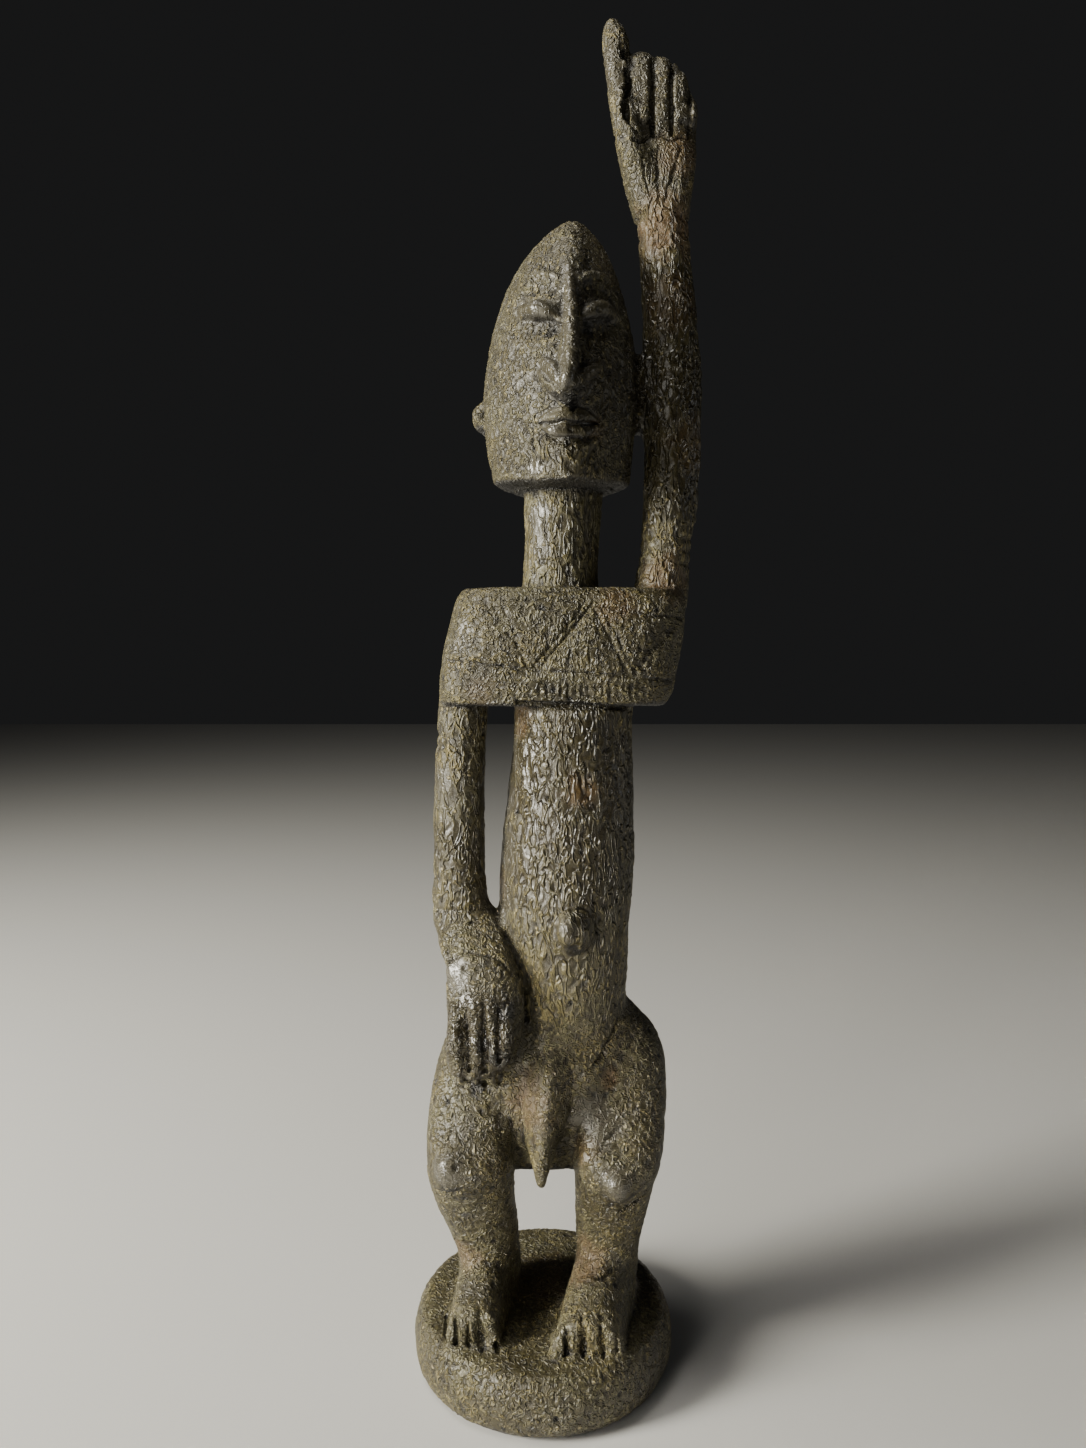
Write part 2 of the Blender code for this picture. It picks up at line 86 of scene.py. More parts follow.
# Where the solid keeps its finer forms: the lowest and the highest corner of each box
FINE_BOXES = {
    "head": ((-34, -55, 396), (41, 42, 520)),
    "raised hand": ((18, -25, 524), (78, 30, 606)),
    "lowered hand": ((-52, -55, 138), (-4, -12, 202)),
    "feet": ((-50, -62, 26), (54, -18, 44)),
    "shoulder band": ((-62, -40, 303), (80, 40, 362)),
    "wedge": ((-12, -42, 86), (16, -4, 150)),
}

# Broad hollows, cut before the forms that lie in them: pixel, width and depth, in millimetres
HOLLOWS = {
    "left socket": [(526, 322, 6, 0.7), (541, 327, 8, 1.3), (553, 329, 7, 1.2)],
    "right socket": [(585, 331, 7, 1.4), (597, 329, 9, 1.5), (612, 326, 6, 0.8)],
    "under left brow": [(529, 297, 4, 0.5), (545, 290, 6, 1.0), (557, 292, 6, 1.2)],
    "under right brow": [(581, 292, 6, 1.2), (593, 289, 6, 1.0), (609, 297, 4, 0.5)],
    "left nose side": [(562, 284, 3, 0.6), (561, 320, 3.5, 1.0), (558, 348, 3.5, 0.8)],
    "right nose side": [(584, 290, 3, 0.8), (586, 320, 4, 1.3), (588, 348, 4, 1.0)],
}

# Forms that stand out: along each, its pixel, its width and how far it stands out, in millimetres
RAISED = {
    "forehead": [(573, 232, 6, 0.5), (571, 255, 7, 0.9), (569, 282, 6, 0.9)],
    "nose": [
        (569, 262, 3.4, 1.0), (570, 282, 4, 2.0), (571, 310, 4.4, 3.0), (571, 340, 4.8, 3.4),
        (570, 364, 5.2, 3.6), (567, 379, 5, 3.2), (564, 387, 3, 1.6),
    ],
    "left wing": [
        (541, 361, 2, 1.0), (547, 364, 4.6, 2.6), (554, 371, 5.4, 3.2), (562, 383, 3, 1.8),
    ],
    "right wing": [
        (599, 368, 2, 1.0), (591, 370, 4, 2.3), (583, 375, 4.8, 2.6), (574, 384, 3, 1.8),
    ],
    "under left wing": [(545, 380, 1.6, 0.6), (556, 388, 2.2, 1.0), (566, 398, 2, 0.8)],
    "lip to wing": [(549, 381, 1.8, 0.5), (558, 390, 2.2, 0.9), (567, 399, 2, 0.6)],
    "under nose": [(571, 400, 1.8, 0.6), (581, 403, 2.2, 0.9), (592, 402, 1.6, 0.5)],
    "left brow": [
        (529, 286, 1.8, 0.9), (535, 279, 2.8, 2.0), (546, 276, 3, 2.3), (558, 278, 2.6, 1.5),
    ],
    "right brow": [
        (579, 281, 2.6, 1.5), (591, 276, 3.2, 2.3), (602, 279, 3, 2.0), (611, 288, 1.8, 0.9),
    ],
    "left eye": [
        (515, 313, 1.6, 0.7), (525, 310, 5, 2.1), (537, 309, 8, 3.5), (549, 313, 5.6, 2.4),
        (562, 321, 1.6, 0.7),
    ],
    "right eye": [
        (582, 318, 1.8, 0.8), (591, 312, 5.4, 2.3), (602, 309, 7.8, 3.3), (611, 314, 5, 2.1),
        (621, 323, 1.6, 0.7),
    ],
    "upper lip rim": [
        (540, 421, 1.8, 0.9), (552, 413, 2.6, 1.7), (567, 411, 2.6, 1.6), (584, 413, 2.6, 1.7),
        (599, 423, 1.8, 0.9),
    ],
    "upper lip": [
        (547, 418, 2.8, 1.2), (560, 416, 3.4, 1.6), (580, 416, 3.4, 1.5), (592, 419, 2.8, 1.1),
    ],
    "lower lip left": [(543, 427, 2, 1.0), (554, 430, 4.6, 3.0), (567, 433, 3.4, 1.9)],
    "lower lip right": [(572, 434, 3.4, 1.9), (586, 431, 4.6, 2.9), (598, 426, 2, 1.0)],
    "chin facet": [(536, 457, 3, 0.6), (538, 468, 4, 0.9), (538, 479, 3, 0.5)],
    "ear": [(484, 406, 3.6, 1.0), (478, 414, 5, 1.8), (482, 424, 4, 1.2)],
    "index edge": [(644, 55, 2, 0.5), (646, 90, 2.4, 0.7), (644, 126, 2, 0.4)],
    "middle finger edge": [(658, 58, 1.8, 0.6), (657, 95, 2.2, 0.8), (658, 131, 1.8, 0.5)],
    "ring finger edge": [(676, 66, 1.8, 0.6), (676, 95, 2.2, 0.8), (677, 131, 1.8, 0.5)],
    "thumb crumbs": [(624, 64, 2.4, 1.4), (626, 68, 1.8, 1.0)],
    "thumb crumb below": [(621, 94, 2.2, 1.2), (622, 99, 1.8, 0.9)],
    "arm strip": [(698, 404, 3, 0.6), (697, 455, 4, 1.1), (694, 514, 4, 1.2), (692, 521, 3, 1.0)],
    "laid finger left": [(455, 1008, 2, 0.4), (457, 1045, 2.6, 0.7), (461, 1079, 2, 0.4)],
    "laid finger middle": [(474, 1004, 1.8, 0.6), (476, 1040, 2.4, 1.1), (477, 1084, 1.8, 0.8)],
    "laid finger right": [(490, 999, 1.8, 0.6), (493, 1040, 2.6, 1.2), (494, 1083, 1.8, 0.8)],
    "navel": [(566, 914, 4.4, 1.4), (567, 925, 8, 3.2), (567, 938, 7.6, 3.1), (568, 950, 4, 1.3)],
    "left instep knob": [(488, 1316, 3, 1.2), (492, 1320, 3.6, 1.8)],
    "left toe stump": [(491, 1343, 2.6, 1.4), (494, 1349, 2.6, 1.4)],
    "right big toe": [(558, 1322, 3, 0.5), (555, 1338, 5, 1.0), (555, 1354, 4.5, 0.8)],
}

# Forms that are cut in: along each, its pixel, its width and its depth, in millimetres
CUT = {
    "left eye below": [
        (520, 320, 1.4, 0.7), (529, 323, 2, 1.2), (541, 324, 2.4, 1.6), (553, 325, 2, 1.2),
    ],
    "right eye below": [
        (586, 325, 2, 1.2), (597, 325, 2.4, 1.6), (609, 325, 2, 1.2), (617, 326, 1.4, 0.7),
    ],
    "left wing edge": [(539, 367, 1.2, 0.7), (546, 377, 1.5, 1.0), (556, 388, 1.2, 0.7)],
    "right wing edge": [(599, 376, 1.2, 0.7), (589, 382, 1.6, 1.1), (578, 391, 1.2, 0.7)],
    "nose hollow": [(575, 388, 3, 1.0), (583, 390, 4, 1.3), (591, 386, 3, 0.8)],
    "lips": [
        (540, 424, 1.1, 0.8), (552, 424, 1.5, 1.3), (563, 421, 1.5, 1.2), (573, 424, 1.8, 1.5),
        (586, 423, 1.5, 1.2), (600, 425, 1.1, 0.8),
    ],
    "lip furrow": [(573, 399, 2, 0.6), (574, 406, 2.4, 0.8), (572, 412, 1.8, 0.5)],
    "under lip": [(549, 437, 2.6, 0.9), (568, 440, 5, 1.7), (593, 437, 3, 1.1)],
    "mouth corner": [(536, 416, 1.2, 0.6), (536, 425, 1.4, 0.9)],
    "chin mark": [(533, 441, 1.4, 1.0), (533, 450, 1.8, 1.2)],
    "ear hollow": [(484, 413, 2, 0.9), (485, 419, 2, 0.9)],
    "cheek pit": [(513, 324, 1.4, 0.9), (513, 327, 1.4, 0.9)],
    "cheek pit below": [(513, 336, 1.6, 1.1), (513, 338, 1.6, 1.1)],
    "thumb line": [
        (621, 46, 1.2, 0.8), (626, 60, 2, 1.8), (627, 72, 1.8, 1.8), (628, 85, 2.4, 2.6),
        (625, 98, 2, 2.2), (626, 110, 2.4, 2.6), (630, 124, 1.6, 1.2),
    ],
    "thumb hole above": [(624, 54, 2.6, 3.0), (625, 57, 2.6, 3.0)],
    "thumb hole": [(629, 80, 2.6, 4.0), (628, 90, 3, 4.5)],
    "thumb hole below": [(626, 101, 2.6, 3.8), (627, 116, 2.4, 3.4)],
    "index gap": [
        (652, 60, 1.2, 1.0), (652, 90, 1.8, 1.8), (652, 120, 2.4, 2.8), (653, 134, 2, 2.2),
    ],
    "middle gap": [(671, 62, 1.2, 1.0), (671, 95, 1.6, 1.5), (672, 134, 1.8, 1.6)],
    "ring gap": [(690, 88, 1.2, 0.9), (690, 112, 1.6, 1.3), (689, 138, 1.4, 1.2)],
    "ring finger hole": [(673, 71, 1.6, 1.4), (673, 73, 1.6, 1.4)],
    "finger ends": [
        (633, 139, 1.8, 1.0), (641, 142, 2, 1.2), (650, 137, 1.8, 1.2), (662, 136, 1.8, 1.1),
        (672, 141, 1.8, 1.1), (681, 138, 1.8, 1.0), (693, 143, 1.4, 0.8),
    ],
    "index end loop": [(632, 128, 1.4, 1.0), (637, 133, 1.6, 1.2)],
    "palm line left": [(641, 148, 1, 0.4), (645, 176, 1.4, 0.6), (652, 202, 1, 0.4)],
    "palm line middle": [(657, 146, 1, 0.4), (658, 175, 1.4, 0.6), (659, 204, 1, 0.4)],
    "palm line right": [(681, 148, 1, 0.4), (672, 176, 1.4, 0.6), (664, 204, 1, 0.4)],
    "wrist crease": [
        (448, 964, 1.2, 0.5), (457, 957, 1.6, 0.8), (471, 953, 1.8, 0.9), (486, 955, 1.8, 0.9),
        (501, 961, 1.8, 1.0), (512, 977, 1.4, 0.6),
    ],
    "laid gap left": [(467, 1009, 1.4, 0.6), (468, 1035, 2.2, 1.3), (470, 1082, 2.2, 1.2)],
    "laid gap middle": [(484, 1003, 2, 1.0), (484, 1035, 3, 1.9), (485, 1083, 3, 1.8)],
    "laid gap right": [(499, 1003, 1.6, 0.8), (499, 1038, 2.4, 1.5), (500, 1083, 2.2, 1.3)],
    "fingertips": [(457, 1083, 1.2, 0.8), (467, 1087, 1.8, 1.2), (480, 1085, 1.6, 1.0)],
    "navel rim": [
        (560, 912, 1.6, 0.6), (575, 905, 1.8, 0.8), (590, 913, 1.8, 0.8), (596, 930, 1.8, 0.8),
        (588, 950, 1.8, 0.8), (572, 957, 1.6, 0.6),
    ],
    "groin": [
        (619, 1018, 1.8, 0.6), (609, 1040, 2.8, 1.4), (600, 1057, 3, 1.6), (582, 1071, 2.4, 1.2),
    ],
    "left knee crease": [(436, 1189, 1.6, 0.5), (450, 1193, 2.4, 0.9), (463, 1188, 1.8, 0.6)],
    "left knee chevron": [(447, 1145, 1, 0.4), (455, 1128, 1.2, 0.5), (463, 1145, 1, 0.4)],
    "thigh crack": [
        (620, 1127, 0.9, 0.6), (611, 1136, 1.3, 1.0), (603, 1145, 1.3, 1.0), (597, 1160, 0.9, 0.6),
    ],
    "thigh scar": [(603, 1074, 3, 0.4), (610, 1079, 5, 0.7), (615, 1083, 3, 0.4)],
    "right knee crease": [
        (648, 1191, 1.4, 0.8), (640, 1198, 2.2, 1.6), (630, 1205, 3, 2.2), (620, 1212, 2.4, 1.6),
    ],
    "right ankle notch": [(596, 1279, 1.8, 1.0), (604, 1278, 2.8, 1.8), (612, 1271, 1.8, 1.0)],
    "left toes first gap": [(446, 1315, 1.2, 0.9), (446, 1340, 2, 1.7)],
    "left toes second gap": [(456, 1318, 1.4, 1.0), (456, 1343, 2.4, 1.9)],
    "left toes third gap": [(468, 1324, 1.6, 1.2), (469, 1345, 2.4, 2.0)],
    "left toe hollow": [(481, 1326, 4.5, 1.3), (483, 1336, 6.5, 1.9), (484, 1346, 5, 1.7)],
    "left toe hollow below": [(496, 1344, 2.6, 1.4), (498, 1351, 2.8, 1.4)],
    "right toes first gap": [(567, 1330, 1.6, 1.1), (566, 1344, 2.4, 1.6), (566, 1355, 2.4, 1.6)],
    "right toes second gap": [(585, 1328, 1.6, 1.1), (584, 1343, 2.6, 1.7), (584, 1356, 2.6, 1.7)],
    "right toes third gap": [(601, 1330, 1.2, 0.9), (603, 1345, 2, 1.6), (604, 1358, 1.8, 1.4)],
    "right toes fourth gap": [(616, 1333, 1, 1.0), (618, 1352, 1.4, 1.4)],
    "torso cleft": [
        (578, 770, 0.9, 0.7), (580, 780, 1.5, 1.5), (582, 788, 1.1, 1.0), (584, 798, 1.3, 1.2),
    ],
    "torso cleft right": [(587, 768, 0.9, 0.6), (586, 778, 1.1, 0.9), (590, 787, 0.9, 0.6)],
    "torso pit": [(548, 798, 1.6, 1.2), (548, 800, 1.6, 1.2)],
    "under band": [
        (517, 703, 2.4, 1.6), (545, 705, 3, 2.4), (590, 707, 3, 2.4), (626, 708, 2.4, 1.6),
    ],
    "round neck": [
        (529, 586, 1.6, 0.8), (545, 589, 2, 1.0), (567, 590, 2, 1.0), (598, 588, 1.6, 0.8),
    ],
    "band rim line": [(503, 591, 0.9, 0.5), (530, 591, 1.1, 0.7), (575, 593, 0.9, 0.5)],
    "lower lip notch": [(570, 428, 1.2, 0.7), (570, 436, 1.4, 0.7)],
    "base crack": [(447, 1366, 0.9, 0.6), (456, 1381, 1.2, 0.9), (470, 1396, 0.9, 0.6)],
}

# Low swellings: pixel, radius and height, in millimetres
SWELLS = [
    (446, 1166, 13, 1.2), (616, 1184, 12, 1.5), (468, 925, 15, 0.8), (586, 1080, 15, 3.2),
    (588, 1115, 17, 4.0), (594, 1155, 15, 2.6),
]

# The worn double zigzag of the shoulder band: the ends of each stroke in pixels, and its depth
ZIGZAG = [
    ((490, 600), (529, 670), 0.5),
    ((531, 671), (587, 601), 0.75),
    ((590, 603), (631, 676), 0.6),
    ((633, 676), (672, 620), 0.45),
]

# How far the two lines of a stroke are apart, and how far they wander, in pixels. Then come their
# width in millimetres, their number of points, how their depth varies, and the seed of it all.
ZIGZAG_PAIR, ZIGZAG_WANDER = 7, 1.5
ZIGZAG_WIDTH, ZIGZAG_POINTS, ZIGZAG_WEAR, ZIGZAG_SEED = 1.3, 5, (0.6, 1.2), 5

# The border lines of the shoulder band and the hatching beside its zigzag, in pixels, with their
# widths and depths in millimetres
BORDER_TOP = [(462, 601), (500, 601), (545, 600), (590, 604), (620, 610), (650, 614), (683, 619)]
BORDER_BOTTOM = [(448, 661), (480, 664), (520, 669), (560, 673), (600, 674), (640, 678), (671, 681)]
BORDER_WIDTH, BORDER_DEPTH = 1.3, 0.7
HATCH = [(640, 646), (648, 642), (656, 638), (663, 640)]
HATCH_RUN = (-5, 28)
EDGE_HATCH = (540, 642, 7)
EDGE_HATCH_HEIGHTS = (684, 698)
HATCH_WIDTH, HATCH_DEPTH = 0.9, 0.5

# Rings cut round the arms: the side of the arm in x and the height of each, in millimetres
ARM_RINGS = {1: (368.5, 374.0, 379.5, 510.5, 517.5), -1: (213.0, 226.0, 286.5, 291.5)}
RING_OUTSIDE = 27
RING_WIDTH, RING_DEPTH = 1.2, 0.55
RING_WANDER, RING_WANDER_SIZE = 0.5, 9.0

# Worn, glossy places with a look of their own, painted lighter as a sheen: pixel, radius in
# millimetres and strength
WORN_AND_SHEEN = [
    (524, 309, 4, 1.0), (532, 307, 5, 1.0), (541, 307, 5, 1.0), (549, 311, 4, 0.9),
    (570, 270, 5, 0.8), (570, 285, 5, 1.0), (570, 300, 5, 1.0), (570, 315, 5, 1.0),
    (570, 330, 5, 1.0), (570, 345, 5, 1.0), (569, 360, 5.5, 1.0), (566, 375, 6, 1.0),
    (566, 384, 4, 1.0), (548, 365, 5.5, 1.0), (557, 374, 5.5, 1.0), (590, 371, 4.5, 1.0),
    (581, 377, 4, 1.0), (514, 370, 9, 0.2), (595, 308, 4, 0.8), (603, 307, 4.5, 0.9),
    (611, 312, 4, 0.8), (554, 430, 5, 1.0), (586, 430, 5, 1.0), (567, 433, 3, 0.8),
    (552, 413, 3, 0.7), (584, 413, 3, 0.7), (536, 468, 5, 1.0), (612, 70, 13, 0.5),
    (650, 100, 22, 0.45), (680, 112, 12, 0.45), (655, 180, 12, 0.4), (470, 985, 14, 0.3),
    (538, 515, 8, 0.6), (540, 550, 8, 0.5), (512, 760, 11, 0.8), (508, 800, 10, 0.7),
    (505, 850, 11, 0.8), (504, 900, 10, 0.7), (567, 931, 5, 1.0), (455, 975, 8, 1.0),
    (446, 1171, 8, 1.0), (614, 1186, 8, 0.9), (590, 1110, 10, 0.7), (604, 1128, 10, 0.7),
    (455, 1130, 9, 0.4), (478, 680, 8, 0.5), (462, 640, 9, 0.4), (612, 60, 5, 0.5),
    (640, 90, 5, 0.6), (566, 1100, 5, 0.2), (470, 1290, 8, 0.5), (440, 780, 8, 0.5),
    (540, 1130, 5, 0.5), (560, 250, 7, 0.4),
]

# Places that stay smooth between rougher ones, with no colour of their own
CALM = [
    (522, 311, 5, 1.0), (532, 309, 7, 1.0), (542, 310, 7, 1.0), (552, 315, 5, 1.0),
    (590, 313, 5, 1.0), (600, 310, 6, 1.0), (609, 313, 5, 1.0), (535, 280, 2.5, 0.8),
    (546, 277, 2.5, 0.8), (556, 278, 2.5, 0.8), (584, 279, 2.5, 0.8), (594, 277, 2.5, 0.8),
    (604, 280, 2.5, 0.8), (547, 366, 6, 1.0), (556, 374, 6, 1.0), (591, 371, 5, 1.0),
    (582, 377, 5, 1.0), (546, 418, 4, 1.0), (556, 414, 4, 1.0), (568, 414, 4, 1.0),
    (580, 414, 4, 1.0), (592, 418, 4, 1.0), (553, 429, 5, 1.0), (564, 432, 4, 1.0),
    (576, 432, 4, 1.0), (588, 429, 5, 1.0), (552, 392, 6, 0.6), (584, 400, 8, 0.6),
]

# Places that are stained ochre, bare of dust, darkened as painted shade in their hollows, hung with
# long wrinkles, or full of crust
OCHRE = [
    (665, 225, 16, 1.0), (680, 155, 11, 0.8), (665, 580, 13, 0.8), (615, 604, 9, 0.7),
    (528, 1110, 12, 0.7), (530, 1085, 8, 0.5), (585, 1262, 12, 0.8), (584, 790, 8, 0.7),
    (500, 880, 11, 0.5), (466, 1255, 9, 0.7), (608, 1078, 5, 0.9), (520, 715, 10, 0.6),
    (585, 1150, 8, 0.4), (540, 1280, 20, 0.6), (655, 1290, 14, 0.4), (690, 440, 12, 0.3),
    (672, 300, 14, 0.4), (596, 430, 6, 0.3), (480, 690, 8, 0.4),
]
BARE = [
    (560, 770, 42, 0.9), (570, 850, 42, 0.8), (600, 800, 40, 0.9), (668, 380, 30, 1.0),
    (672, 300, 24, 0.9), (672, 470, 26, 0.9), (480, 800, 14, 0.5), (565, 530, 16, 0.5),
    (575, 950, 30, 0.5), (480, 1150, 20, 0.4), (480, 1035, 24, 1.0), (455, 860, 30, 0.5),
    (640, 640, 18, 0.4), (590, 1395, 26, 0.4), (645, 1360, 22, 0.5), (640, 1120, 24, 0.5),
    (455, 780, 24, 0.3), (600, 1210, 14, 0.6), (515, 375, 24, 0.25), (610, 380, 26, 0.5),
    (560, 470, 24, 0.35), (545, 255, 24, 0.3), (610, 440, 16, 0.4), (500, 640, 22, 0.35),
    (575, 640, 26, 0.45), (540, 1400, 30, 0.5), (450, 1350, 20, 0.3), (450, 850, 18, 0.8),
    (455, 920, 16, 0.5), (450, 1120, 22, 0.35), (595, 1130, 18, 0.6), (460, 1230, 16, 0.3),
    (690, 120, 18, 0.4),
]
SHADED_HOLLOWS = [
    (484, 1345, 4, 0.3), (566, 1350, 2.5, 0.3), (584, 1352, 2.5, 0.3), (500, 1060, 5, 0.7),
    (484, 1045, 4, 0.6), (582, 391, 3, 0.4), (573, 404, 3, 0.5), (590, 329, 4, 0.5),
    (552, 329, 3, 0.3), (476, 1090, 4, 0.6), (508, 1010, 5, 0.6),
]
STRINGY = [(580, 455, 15, 1.0), (545, 460, 10, 0.8), (665, 180, 14, 0.7), (565, 660, 16, 0.6)]
CRUSTY = [
    (495, 1093, 9, 1.0), (470, 935, 9, 1.0), (565, 660, 14, 0.8), (575, 630, 12, 0.8),
    (610, 1230, 9, 0.9), (480, 1200, 9, 0.7), (550, 1345, 15, 0.8), (590, 1370, 18, 0.8),
    (480, 1380, 14, 0.7), (600, 780, 14, 0.5), (560, 1000, 14, 0.6), (490, 1280, 9, 0.9),
    (520, 655, 12, 0.6), (620, 1110, 8, 0.6), (605, 440, 10, 0.6), (565, 240, 9, 0.6),
    (640, 580, 9, 0.5), (470, 760, 9, 0.5),
]

# The surface, in millimetres: how high each kind of relief is, and the size of its noise
WARP, WARP_SIZE = 2.2, 8.0
TOOL_MARKS, TOOL_MARK_SIZE, SMALL_MARK_SIZE = 0.35, 15.0, 6.0
WRINKLE, WRINKLE_STRINGY, WRINKLE_SIZE = 0.26, 0.30, (3.2, 3.2, 9.0)
CURL, CURL_SIZE = 0.46, (3.0, 3.0, 5.2)
GRAIN, CRUST, CRUST_SIZE = 0.08, 0.50, 2.0
PIT, PIT_SIZE, PIT_EDGE = 0.6, 5.5, (0.72, 0.95)
SINK = 0.12
RAGGED, RAGGED_SIZE, PLACE_EDGE = 0.35, 6.0, (0.45, 1.25)
PATCH_SIZE, PATCH_EDGE = 22.0, (-0.5, 0.4)
CRUST_PATCH_SIZE, CRUST_PATCH_EDGE = 17.0, (0.15, 0.6)
UNDERSIDE_EDGE = (0.4, 3.0)

# How the relief varies: the width of its lines in steps of their noise, how much rougher it is on
# the head and in patches, what calm and stringy places take from it, and how many cells hold a spot
LINE_WIDTH, HEAD_ROUGHER, HEAD_CLEANER = 0.42, 0.6, 1.7
ROUGH_LEAST, ROUGH_PATCHY, CALM_SMOOTHER = 0.7, 0.3, 0.88
STRINGY_CURL, CRUST_PATCHY, FULL_HEIGHT = 0.4, 0.5, 0.5
CRUST_SHARE, BIG_CRUST, BIG_CRUST_SHARE, PIT_SHARE = 0.55, 1.3, 0.4, 0.10
NOISE_GAIN, SPOT_JITTER, SPOT_REACH = 1.6, 0.5, 0.30

# What the material reads as painted shade in the listed hollows and on faces turned down, as dust and
# as wear, and the blur in millimetres that finds edges
HOLLOW_SHADE, UNDERSIDE_SHADE, CALM_DUST = 1.4, 1.0, 0.25
EDGE_BLUR, EDGE_WEAR, EDGE_WORN = 2.2, 0.3, (0.25, 0.9)
FACING_DOWN = (0.35, 0.85)

# Where the wrinkles hang in long strings: the heights between which each place begins and ends. The
# lowered hand lies before the torso, and has none.
STRINGY_TORSO = (150, 175), (302, 308)
STRINGY_NECK = (355, 360), (396, 402)
STRINGY_ARM = (355, 362), (522, 532)
LOWERED_SIDE, LOWERED_TOP = (8, 16), (200, 212)
RAISED_SIDE, HEAD_BOTTOM = (40, 44), (396, 402)

# The seed of each kind of noise
SEEDS = {
    "patch": 2, "wrinkle": 3, "curl": 4, "crust patch": 5, "crust": 6, "big crust": 7, "pit": 8,
    "tool mark": 9, "small mark": 10, "warp": 11, "worn": 21, "ochre": 22, "crusty": 23,
    "bare": 24, "stringy": 25, "shaded_hollows": 26, "calm": 27, "ring": 31,
}

# Where the mesh is parted, because one piece may hold only so much: the top of each part, in
# millimetres above the ground, and above the last of them the side at which the raised arm begins
PART_TOPS = {"base_and_feet": 46, "legs": 118, "hips": 190, "trunk": 292, "shoulders": 392}
HEAD_PART, ARM_PART, ARM_FROM = "head", "raised_arm", 42

# The colours of the wood, of the dust on it and of its stained places, the near-black of the painted
# shade in its hollows, and the colour of its worn places, painted lighter as a sheen
PAINTED_SHADE = (0.008, 0.006, 0.003, 1.0)
DARK_WOOD = (0.026, 0.021, 0.011, 1.0)
BROWN_WOOD = (0.027, 0.021, 0.010, 1.0)
OLD_DUST = (0.060, 0.050, 0.021, 1.0)
DUST = (0.186, 0.150, 0.054, 1.0)
GREY_DUST = (0.138, 0.122, 0.057, 1.0)
PALE_SPECK = (0.480, 0.400, 0.200, 1.0)
OCHRE_COLOUR = (0.120, 0.070, 0.026, 1.0)
WORN_SHEEN_COLOUR = (0.088, 0.080, 0.058, 1.0)

# The patterns of the wood: how many there are in a metre
CLOUDS, SPECKLES, FINE_GRAIN = 45.0, 900.0, 2200.0
LONG_LINES, SHORT_LINES, SMALL_LINES = 310.0, 330.0, 620.0
STRING_STRETCH = (1.0, 1.0, 0.38)
DUST_GRAINS, DUST_GRAIN_SHARE = 330.0, 0.14

# The gloss of the wood, from its rough to its worn places, and its bump in metres
ROUGH_WOOD, ROUGH_WORN, SPECULAR = 0.51, 0.25, 0.75
BUMP_STRENGTH, BUMP_DISTANCE = 0.9, 0.0010

# The floor, the surround and the lamps. A lamp has its place, its target and its size in metres, its
# power in watts, its colour, and the spread of its light in degrees.
FLOOR_COLOUR, FLOOR_ROUGHNESS, FLOOR_HALF = (0.62, 0.61, 0.59, 1.0), 0.85, 4.0
SURROUND_COLOUR, SURROUND_STRENGTH = (0.80, 0.81, 0.82, 1.0), 0.015
MIDDLE, SHINS = (0.0, 0.0, 0.3), (0.025, 0.0, 0.11)
WARM, PALE_WARM, COOL = (1.0, 0.97, 0.86), (1.0, 0.97, 0.90), (0.95, 0.97, 1.0)
LAMPS = {
    "key": ((-1.42, -0.50, 0.68), MIDDLE, (0.4, 0.8), 64, WARM, 180),
    "top": ((-0.45, -0.15, 1.5), MIDDLE, (0.5, 0.5), 7, PALE_WARM, 180),
    "front": ((-0.80, -1.20, 0.9), MIDDLE, (0.5, 0.5), 2, PALE_WARM, 180),
    "low": ((-0.75, -1.00, 0.15), SHINS, (0.3, 0.3), 0.22, PALE_WARM, 12),
    "fill": ((1.35, 0.1, 0.4), MIDDLE, (0.5, 0.5), 0.7, COOL, 180),
}


def smooth(low, high, value):
    """0 below low, 1 above high, and a soft step between."""
    t = np.clip((value - low) / (high - low), 0.0, 1.0)
    return t * t * (3.0 - 2.0 * t)


def blur(values, sigma):
    """A Gaussian blur of a dense block; sigma is in voxels."""
    reach = max(1, int(math.ceil(BLUR_REACH * sigma)))
    taps = np.exp(-0.5 * (np.arange(-reach, reach + 1) / sigma) ** 2)
    taps = (taps / taps.sum()).astype(np.float32)
    for axis in range(3):
        margins = [(0, 0)] * 3
        margins[axis] = (reach, reach)
        padded = np.pad(values, margins, mode="edge")
        count = values.shape[axis]
        out = np.zeros_like(values)
        for k, tap in enumerate(taps):
            part = [slice(None)] * 3
            part[axis] = slice(k, k + count)
            out += tap * padded[tuple(part)]
        values = out
    return values


